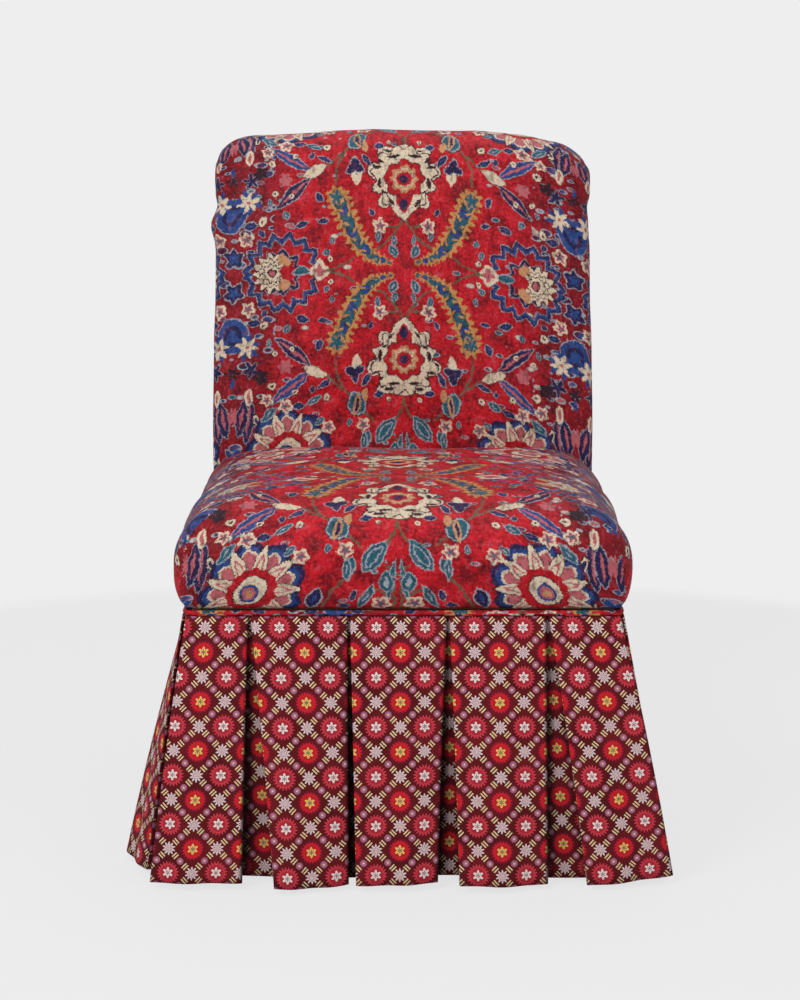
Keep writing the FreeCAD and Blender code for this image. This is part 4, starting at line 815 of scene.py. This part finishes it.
def back_outline(t, side_inset, roll_inset):
    """A place of the back's side view: up the front, over the roll and down behind."""
    if t <= FRONT_SHARE:
        share = t / FRONT_SHARE
        height = LEDGE + (ROLL_FRONT[1] - LEDGE) * share
        rise = (height - CREVICE[1]) / (ROLL_FRONT[1] - CREVICE[1])
        run = CREVICE[0] + (ROLL_FRONT[0] + roll_inset - CREVICE[0]) * max(rise, 0.0)
        bow = 0.0 if rise < 0 else 0.040 * rise * (1 - rise)
        slack = side_inset * (1 - blend_in(rise, 0.86, 1.0))
        return run - bow + slack, height
    if t <= FRONT_SHARE + ROLL_SHARE:
        share = (t - FRONT_SHARE) / ROLL_SHARE
        radius = ROLL_RADIUS - roll_inset * (1 - 0.9 * blend_in(share, 0.55, 0.95))
        start, end = math.pi - RECLINE, -NECK_ANGLE
        angle = start + (end - start) * share
        return ROLL_CENTRE[0] + radius * math.cos(angle), ROLL_CENTRE[1] + radius * math.sin(angle)
    share = (t - FRONT_SHARE - ROLL_SHARE) / (1 - FRONT_SHARE - ROLL_SHARE)
    radius = ROLL_RADIUS - roll_inset * 0.1
    neck_y = ROLL_CENTRE[0] + radius * math.cos(NECK_ANGLE)
    neck_z = ROLL_CENTRE[1] - radius * math.sin(NECK_ANGLE)
    height = neck_z + (LEDGE - neck_z) * share
    settle = blend_in(share, 0.0, 0.10)
    return neck_y + (rear_line(height) - side_inset - neck_y) * settle, height


def spine_of(t):
    """The middle of the back's thickness that its flat sides close towards."""
    if FRONT_SHARE < t < FRONT_SHARE + ROLL_SHARE:
        return ROLL_CENTRE
    share = t / FRONT_SHARE if t <= FRONT_SHARE else (1 - t) / (1 - FRONT_SHARE - ROLL_SHARE)
    foot = ((CREVICE[0] + REAR) / 2, LEDGE)
    return (foot[0] + (ROLL_CENTRE[0] - foot[0]) * share, foot[1] + (ROLL_CENTRE[1] - foot[1]) * share)


def across_back(s):
    """For a place across the grid: X without its side, side, and how far it closes to the spine."""
    side = 1 if s >= 0.5 else -1
    from_end = min(s, 1 - s)
    if from_end < CAP:
        return BACK_HALF, side, 1 - from_end / CAP
    share = (0.5 - from_end) / (0.5 - CAP)
    eased = math.sin(share * math.pi / 2) * 0.45 + share * 0.55
    return BACK_HALF * eased, side, 0.0


def make_back(material):
    def place(s, t):
        half, side, closed = across_back(s)
        distance = BACK_HALF - half
        side_inset = round_inset(distance + 0.0007, EDGE_RADIUS)
        roll_inset = round_inset(distance + 0.002, SHOULDER_RADIUS) * 0.86
        roll_inset += 0.006 * (half / BACK_HALF) ** 2
        y, z = back_outline(t, side_inset, roll_inset)
        if closed:
            spine = spine_of(t)
            y, z = y + (spine[0] - y) * closed, z + (spine[1] - z) * closed
        near_edge = blend_in(half, 0.10, BACK_HALF)
        drop = 1.0 if side > 0 else 0.45
        z -= SHOULDER_DROP * (half / BACK_HALF) ** 3.1 * drop * blend_in(z, 0.80, 0.93)
        x = side * (half + side_swell(z, side) * near_edge)
        spot = Vector((x, y, z))
        on_face = 1 - closed
        slack = rumple((x, y * 0.5, z), 10.0, 0.0040, 1.3) + rumple((x, 0, z * 1.6), 26.0, 0.0016, 5.2)
        crease = 0.0
        if t < FRONT_SHARE + ROLL_SHARE * 0.5:
            band = CREASE_HEIGHT + (0.004 if side < 0 else 0.0)
            depth = (0.0050 if side < 0 else 0.0022) * blend_in(half, 0.11, 0.245)
            crease = depth * math.exp(-((z - band) / CREASE_WIDTH) ** 2)
        if t > FRONT_SHARE + ROLL_SHARE:
            inward = Vector((0, -1, 0))
        elif z > 0.80:
            inward = Vector((0, ROLL_CENTRE[0] - y, ROLL_CENTRE[1] - z)).normalized()
        else:
            inward = Vector((0, 1, 0))
        near_foot = blend_in(z, 0.36, 0.50)
        spot += inward * (crease * on_face - slack * on_face * near_foot * (1 - near_edge * 0.3))
        return spot

    marks = [back_outline(step / OUTLINE_STEPS, 0.0, 0.0) for step in range(OUTLINE_STEPS + 1)]
    distances = [0.0]
    for (y0, z0), (y1, z1) in zip(marks, marks[1:]):
        distances.append(distances[-1] + math.hypot(y1 - y0, z1 - z0))
    front_marks = range(round(FRONT_SHARE * OUTLINE_STEPS) + 1)
    axis_mark = min(front_marks, key=lambda mark: abs(marks[mark][1] - PATTERN_AXIS))

    def cloth(s, t, middle_s, middle_t):
        half, _, closed = across_back(s)
        mark = min(max(t * OUTLINE_STEPS, 0), OUTLINE_STEPS - 0.001)
        low = int(mark)
        up = distances[low] + (distances[low + 1] - distances[low]) * (mark - low)
        side = 1 if middle_s >= 0.5 else -1
        edge = round_inset(BACK_HALF - half, EDGE_RADIUS) * 0.57
        u = side * (half + closed * 0.045 + edge) - 0.002
        sag = 0.69 if u > 0 else 0.18
        return u, up - distances[axis_mark] + sag * u * u

    return grid_piece("back_velvet", 150, 240, place, cloth, material, close=True)


def make_outside_panel(material):
    """The outside back: a flat panel of the velvet from the neck down to the welt."""
    half = BACK_HALF - EDGE_RADIUS
    low, high = WELT_HEIGHT - 0.002, NECK[1] - 0.006

    def place(s, t):
        x = (s * 2 - 1) * half
        z = low + (high - low) * t
        line = rear_line(z)
        edge = min(1 - abs(s * 2 - 1), 1 - t) * half
        lift = 0.0024 * blend_in(edge, 0.0, 0.012)
        return Vector((x, line + 0.0006 + lift + rumple((x, 0, z), 8.0, 0.0008, 2.0), z))

    def cloth(s, t, middle_s, middle_t):
        return (s * 2 - 1) * half, -(high - low) * (1 - t) + 0.22

    panel = grid_piece("outside_back_velvet", 60, 60, place, cloth, material)
    thicken(panel, 0.002, -1)
    high - low
    return panel


def thicken(piece, thickness, offset=0.0):
    wall = piece.modifiers.new("cloth_thickness", "SOLIDIFY")
    wall.thickness = thickness
    wall.offset = offset


def make_welt(material):
    """The cord round the waist, covered in a strip of the velvet."""
    out = WELT_RADIUS + 0.0003
    corner = WAIST_CORNER + out
    half, front, rear = WAIST_HALF + out, WAIST_FRONT - out, REAR + out
    path = []
    for side in ("front", "right", "rear", "left"):
        for step in range(48):
            x, y, _ = rounded_side(half, front, rear, corner, corner, side, step / 24 - 1)
            path.append(Vector((x, y, WELT_HEIGHT)))
    path.append(path[0])
    line = Rail(path)
    count = len(path) - 1

    def place(s, t):
        index = round(s * count) % count
        here, following, before = path[index], path[(index + 1) % count], path[index - 1]
        ahead = (following - before).normalized()
        outward = Vector((ahead.y, -ahead.x, 0))
        angle = t * math.tau
        waver = 1 + rumple(here, 60.0, 0.10, 4.0)
        return here + (outward * math.cos(angle) + Vector((0, 0, math.sin(angle)))) * WELT_RADIUS * waver

    def cloth(s, t, middle_s, middle_t):
        return s * line.length + 0.05, 0.066 + t * 0.022

    return grid_piece("welt_velvet", count, 10, place, cloth, material, close=True)


# Skirt
# How far the innermost layer stands off the waist, the step between layers, how far a fold reaches
# under its panel, and half the slit between two panels
SKIRT_BASE, LAYER, UNDER, SLIT = 0.0022, 0.002, 0.038, 0.0009
# Columns of a panel, of the cloth behind a slit and of a fold under a panel
PANEL_COLUMNS, BEHIND_COLUMNS, UNDER_COLUMNS = 22, 24, 6
SKIRT_ROWS = 30
PANEL_BOW = 0.006
# Where the skirt's pattern starts, how far it follows a panel that swings to the side, and how it
# is stretched down the drop
SKIRT_PATTERN = (0.033, 0.0136)
PATTERN_FOLLOWS, PATTERN_STRETCH = 0.7, 1.015


class Fold:
    """A corner of the skirt's line: along the side and out from the waist, at top and hem. bow is
    how far the stretch that follows it bows out at the hem, and columns its share of the grid."""

    def __init__(self, top, hem, columns, bow=0.0):
        self.top, self.hem, self.columns, self.bow = top, hem, columns, bow

    def at(self, flare):
        return Vector(self.top).lerp(Vector(self.hem), flare)


def skirt_folds(half, pleats, gapes, panels, under_out, corner_hems, corner_outs):
    """The skirt's line for one side, from its left end to its right end, in metres."""
    inner, middle, outer = SKIRT_BASE, SKIRT_BASE + LAYER, SKIRT_BASE + 2 * LAYER
    left_end, right_end = corner_hems
    folds = [Fold((-half - inner + SLIT, inner), (-half - corner_outs[0] + SLIT, under_out), UNDER_COLUMNS),
             Fold((-half + UNDER, inner), (-half + UNDER - left_end / 4, under_out), 1),
             Fold((-half + UNDER, middle), (-half + UNDER - left_end / 4, under_out + LAYER), UNDER_COLUMNS),
             Fold((-half - inner, middle), (-half - left_end, panels[0][0] - LAYER), 1),
             Fold((-half - inner, outer), (-half - left_end, panels[0][0]), PANEL_COLUMNS, PANEL_BOW)]
    for index, (place, (gape_left, gape_right)) in enumerate(zip(pleats, gapes)):
        centre = place + (gape_left + gape_right) / 2
        edge_left, edge_right = place - SLIT + gape_left, place + SLIT + gape_right
        right_out, left_out = panels[index][1], panels[index + 1][0]
        folds += [Fold((place - SLIT, outer), (edge_left, right_out), 1),
                  Fold((place - SLIT, middle), (edge_left, right_out - LAYER), UNDER_COLUMNS),
                  Fold((place - UNDER, middle), (centre - UNDER, under_out + LAYER), 1),
                  Fold((place - UNDER, inner), (centre - UNDER, under_out), BEHIND_COLUMNS),
                  Fold((place + UNDER, inner), (centre + UNDER, under_out), 1),
                  Fold((place + UNDER, middle), (centre + UNDER, under_out + LAYER), UNDER_COLUMNS),
                  Fold((place + SLIT, middle), (edge_right, left_out - LAYER), 1),
                  Fold((place + SLIT, outer), (edge_right, left_out), PANEL_COLUMNS, PANEL_BOW)]
    folds += [Fold((half + inner, outer), (half + right_end, panels[-1][1]), 1),
              Fold((half + inner, middle), (half + right_end, panels[-1][1] - LAYER), UNDER_COLUMNS),
              Fold((half - UNDER, middle), (half - UNDER + right_end / 4, under_out + LAYER), 1),
              Fold((half - UNDER, inner), (half - UNDER + right_end / 4, under_out), UNDER_COLUMNS),
              Fold((half + inner - SLIT, inner), (half + corner_outs[1] - SLIT, under_out), 0)]
    return folds


def make_skirt(name, folds, place_at, material, seed):
    """One side of the skirt: a cloth laid in folds that swings out from the waist to its hem."""
    columns = sum(fold.columns for fold in folds)
    bounds = []
    for index, fold in enumerate(folds[:-1]):
        bounds += [(index, step / fold.columns) for step in range(fold.columns)]
    bounds.append((len(folds) - 2, 1.0))
    rows = []
    for row in range(SKIRT_ROWS + 1):
        drop = 1 - row / SKIRT_ROWS
        flare = drop * (1.15 - 0.15 * drop)
        corners = [fold.at(flare) for fold in folds]
        line, shadows = [], []
        for index, share in bounds:
            a, b = corners[index], corners[index + 1]
            # Painted shade for each vertex: the cloth inside a pleat or a corner is painted darker, most
            # just behind a panel's edge, and less towards the waist
            at_corner = index < 5 or index > len(folds) - 6
            shadow = 0.0 if folds[index].bow else 0.40 if at_corner else 0.85
            if folds[index].columns == BEHIND_COLUMNS:
                left, right = corners[index - 3].x, corners[index + 4].x
                here = a.x + (b.x - a.x) * share
                shadow = 0.9 - 0.9 * blend_in(here - left, 0.001, 0.012)
                shadow += 0.4 * blend_in(here - right, -0.007, 0.002)
            shadows.append(min(shadow, 0.92) * min(1.0, 0.55 + drop))
            spot = a.lerp(b, share)
            bow = folds[index].bow
            if bow:
                flute = math.sin(share * math.tau * 1.5 + seed + index) * 0.0030 * flare
                spot.y += 4 * bow * flare * share * (1 - share) + flute * math.sin(share * math.pi)
            line.append(spot)
        eased = [(a + b * 2 + c) / 4 for a, b, c in zip(line, line[1:], line[2:])]
        rows.append((drop, flare, [line[0], *eased, line[-1]], shadows))

    def place(s, t):
        column, row = round(s * columns), round(t * SKIRT_ROWS)
        drop, flare, line, _ = rows[row]
        along, out = line[column]
        lift = 0.0018 * flare * math.sin(along * 21.0 + seed)
        return place_at(along, out, SKIRT_TOP - drop * (SKIRT_TOP - HEM) + lift)

    runs = []
    for _, _, line, _ in rows:
        run = [0.0]
        for a, b in zip(line, line[1:]):
            run.append(run[-1] + (b - a).length)
        runs.append(run)

    stretch_starts = [0]
    for fold in folds[:-1]:
        stretch_starts.append(stretch_starts[-1] + fold.columns)

    def cloth(s, t, middle_s, middle_t):
        column, row = round(s * columns), round(t * SKIRT_ROWS)
        middle_column = middle_s * columns
        index = max(i for i, start in enumerate(stretch_starts[:-1]) if start <= middle_column)
        run, line = runs[row], rows[row][2]
        if folds[index].bow:
            middle = stretch_starts[index] + PANEL_COLUMNS // 2
            swing = line[middle][0] - rows[SKIRT_ROWS][2][middle][0]
            along = line[column][0] - PATTERN_FOLLOWS * swing
        else:
            anchor = stretch_starts[index]
            along = rows[SKIRT_ROWS][2][anchor][0] + run[column] - run[anchor]
        down = rows[row][0] * (SKIRT_TOP - HEM) * PATTERN_STRETCH
        return along + SKIRT_PATTERN[0], SKIRT_PATTERN[1] - down

    # Painted shade inside the pleats, as each vertex keeps it
    def folded(s, t):
        return rows[round(t * SKIRT_ROWS)][3][round(s * columns)]

    skirt = grid_piece(name, columns, SKIRT_ROWS, place, cloth, material, folded=folded)
    thicken(skirt, 0.0012)
    return skirt


def hem_outs(shares, flare):
    return [(left * flare, right * flare) for left, right in shares]


def make_skirts(material):
    front_pitch, side_pitch = 0.1225, 0.123
    front_flare, side_flare, rear_flare = 0.050, 0.085, 0.036
    under = {"front": 0.004, "side": 0.034, "rear": 0.009}
    front_pleats = [front_pitch * step - 0.006 for step in (-1.5, -0.5, 0.5, 1.5)]
    front_gapes = [(-0.0095, 0.0285), (0.001, 0.007), (-0.0105, 0.013), (0.004, 0.050)]
    front_panels = [(0.52, 0.68), (1.0, 0.58), (0.72, 0.62), (0.92, 0.56), (0.66, 0.10)]
    front = skirt_folds(WAIST_HALF, front_pleats, front_gapes, hem_outs(front_panels, front_flare),
                        under["front"], (0.051, 0.074), (under["side"], under["side"]))
    side_half, side_middle = (REAR - WAIST_FRONT) / 2, (REAR + WAIST_FRONT) / 2
    side_pleats = [side_pitch * step for step in (-1.5, -0.5, 0.5, 1.5)]
    side_gapes = [(-0.008, 0.014), (-0.006, 0.010), (-0.010, 0.012), (-0.006, 0.014)]
    left_panels = [(0.88, 0.86), (0.94, 0.86), (0.96, 0.88), (0.94, 0.94), (1.11, 0.68)]
    right_panels = [(0.74, 0.84), (0.88, 0.84), (0.92, 0.86), (0.92, 0.86), (0.92, 0.88)]
    left = skirt_folds(side_half, side_pleats, side_gapes, hem_outs(left_panels, side_flare),
                       under["side"], (0.004, -0.016), (under["rear"], under["front"]))
    right = skirt_folds(side_half, side_pleats, side_gapes, hem_outs(right_panels, side_flare),
                        under["side"], (0.004, 0.004), (under["front"], under["rear"]))
    rear_pleats = [front_pitch * step for step in (-1.5, -0.5, 0.5, 1.5)]
    rear_panels = [(0.8, 0.86), (0.94, 0.86), (0.96, 0.88), (0.94, 0.86), (0.92, 0.8)]
    rear = skirt_folds(WAIST_HALF, rear_pleats, side_gapes, hem_outs(rear_panels, rear_flare),
                       under["rear"], (0.051, 0.051), (under["side"], under["side"]))
    places = {
        "front": (front, lambda u, out, z: Vector((u, WAIST_FRONT - out, z)), 0.4),
        "left": (left, lambda u, out, z: Vector((-WAIST_HALF - out, side_middle - u, z)), 1.9),
        "right": (right, lambda u, out, z: Vector((WAIST_HALF + out, side_middle + u, z)), 3.3),
        "rear": (rear, lambda u, out, z: Vector((-u, REAR + out, z)), 5.0),
    }
    for side, (folds, place_at, seed) in places.items():
        skirt = make_skirt(f"skirt_cloth_{side}", folds, place_at, material, seed)
        hand_over(skirt, "rosette_cotton", f"skirt_{side}")


# Hidden sheets
def sheet_copy(node, name, material, slot):
    """A sheet of the frame's own shape, with its triangles merged."""
    bm = bmesh.new()
    bm.from_mesh(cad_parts[node].data)
    bmesh.ops.remove_doubles(bm, verts=bm.verts, dist=0.00002)
    piece = piece_of(name, bm, material, smooth=False)
    hand_over(piece, slot, node)


def make_hidden_sheets(burlap, cambric):
    sheet_copy("seat_burlap", "seat_burlap_cloth", burlap, "burlap")
    sheet_copy("back_burlap", "back_burlap_cloth", burlap, "burlap")
    sheet_copy("dust_cover", "dust_cover_cloth", cambric, "cambric")


def finish_frame():
    """Gives every part of the hidden frame its own finish."""
    beech = wood_material("hardwood", dye(206, 168, 122), dye(170, 128, 84), 1.0)
    dowel = wood_material("dowel_wood", dye(222, 190, 146), dye(192, 154, 108), 1.6)
    zinc = metal_material("zinc_steel", dye(190, 192, 196), dye(150, 152, 158), 0.35)
    spring = metal_material("spring_steel", dye(120, 122, 128), dye(84, 86, 92), 0.4)
    blued = metal_material("blued_steel", dye(50, 56, 72), dye(32, 36, 48), 0.35)
    nylon = plain_material("glide_nylon", dye(232, 228, 216), dye(214, 208, 194), 60.0, 0.45)
    webbing = woven_material("webbing", dye(196, 176, 140), dye(140, 118, 84), 0.004)
    board = plain_material("cardboard", dye(172, 140, 100), dye(150, 118, 80), 140.0, 0.85)
    finishes = {"corner_screws": zinc, "spring_clips": zinc, "glide_nails": zinc, "dust_cover_tacks": blued,
                "rail_dowels": dowel, "skirt_tack_strips": board}
    for node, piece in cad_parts.items():
        if node.startswith("seat_spring"):
            material = spring
        elif node.startswith("glide_") and node != "glide_nails":
            material = nylon
        elif node.startswith("back_webbing"):
            material = webbing
        else:
            material = finishes.get(node, beech)
        piece.data.materials.clear()
        piece.data.materials.append(material)


# Pieces
velvet = velvet_material()
cotton = skirt_material()
finish_frame()
make_hidden_sheets(woven_material("burlap", dye(176, 148, 104), dye(120, 94, 60), 0.0028),
                   plain_material("cambric", dye(30, 30, 32), dye(20, 20, 22), 300.0, 0.95))
for piece, nodes in ((make_seat(velvet), ["seat_cover", "seat_foam"]),
                     (make_back(velvet), ["back_cover", "back_foam"])):
    hand_over(piece, "carpet_velvet", *nodes)
hand_over(make_outside_panel(velvet), "carpet_velvet", "outside_back_panel")
hand_over(make_welt(velvet), "carpet_velvet", "welt_cord")
make_skirts(cotton)

# Studio
BACKDROP = dye(238, 238, 239)


def studio_floor():
    """A floor that the camera sees mostly as the backdrop, with a trace of the chair's shadow."""
    bm = bmesh.new()
    bmesh.ops.create_circle(bm, cap_ends=True, segments=96, radius=9.0)
    material, start, shader = new_material("studio_floor", Roughness=0.9)
    shader.inputs["Base Color"].default_value = dye(214, 214, 215)
    tree = material.node_tree
    glow = start.node("ShaderNodeEmission", {}, {"Color": BACKDROP, "Strength": 1.0})
    near = object_place(start).length()
    fade = (near - 0.75) * 1.2
    share = fade.least(1.0).most(0.86)
    seen = start.node("ShaderNodeLightPath", {}, {}, "Is Camera Ray")
    lit = Tone(tree, shader.outputs[0])
    mixed = start.node("ShaderNodeMixShader", {}, {0: share * seen, 1: lit, 2: glow})
    tree.links.new(mixed.socket, tree.nodes["Material Output"].inputs["Surface"])
    floor = piece_of("studio_floor", bm, material)


def studio_world():
    world = bpy.data.worlds.new("studio")
    world.use_nodes = True
    tree = world.node_tree
    start = Tone(tree, None)
    seen = start.node("ShaderNodeLightPath", {}, {}, "Is Camera Ray")
    plain = start.node("ShaderNodeBackground", {}, {"Color": (0.95, 0.97, 1.0, 1.0), "Strength": 0.44})
    shown = start.node("ShaderNodeBackground", {}, {"Color": BACKDROP, "Strength": 1.0})
    mixed = start.node("ShaderNodeMixShader", {}, {0: seen, 1: plain, 2: shown})
    tree.links.new(mixed.socket, tree.nodes["World Output"].inputs["Surface"])
    bpy.context.scene.world = world


def softbox(name, place, aim, size, power):
    lamp = bpy.data.lights.new(name, "AREA")
    lamp.shape = "RECTANGLE"
    lamp.size, lamp.size_y = size
    lamp.energy = power
    holder = bpy.data.objects.new(name, lamp)
    holder.location = place
    holder.rotation_euler = (Vector(aim) - Vector(place)).to_track_quat("-Z", "Y").to_euler()
    bpy.context.scene.collection.objects.link(holder)


def studio_camera():
    camera = bpy.data.cameras.new("camera")
    camera.lens = 78.6
    holder = bpy.data.objects.new("camera", camera)
    holder.location = (-0.004, -2.963, 0.930)
    holder.rotation_euler = (math.radians(90 - 9.53), 0, 0)
    bpy.context.scene.collection.objects.link(holder)
    bpy.context.scene.camera = holder


studio_floor()
studio_world()
softbox("key_light", (-1.6, -2.4, 2.6), (0, 0, 0.5), (1.5, 1.2), 74)
softbox("fill_light", (2.2, -2.0, 1.6), (0, 0, 0.45), (1.6, 1.6), 17)
softbox("top_light", (0.2, 0.6, 2.8), (0, 0, 0.6), (1.6, 1.2), 17)
studio_camera()
bpy.context.scene.view_settings.view_transform = "Standard"
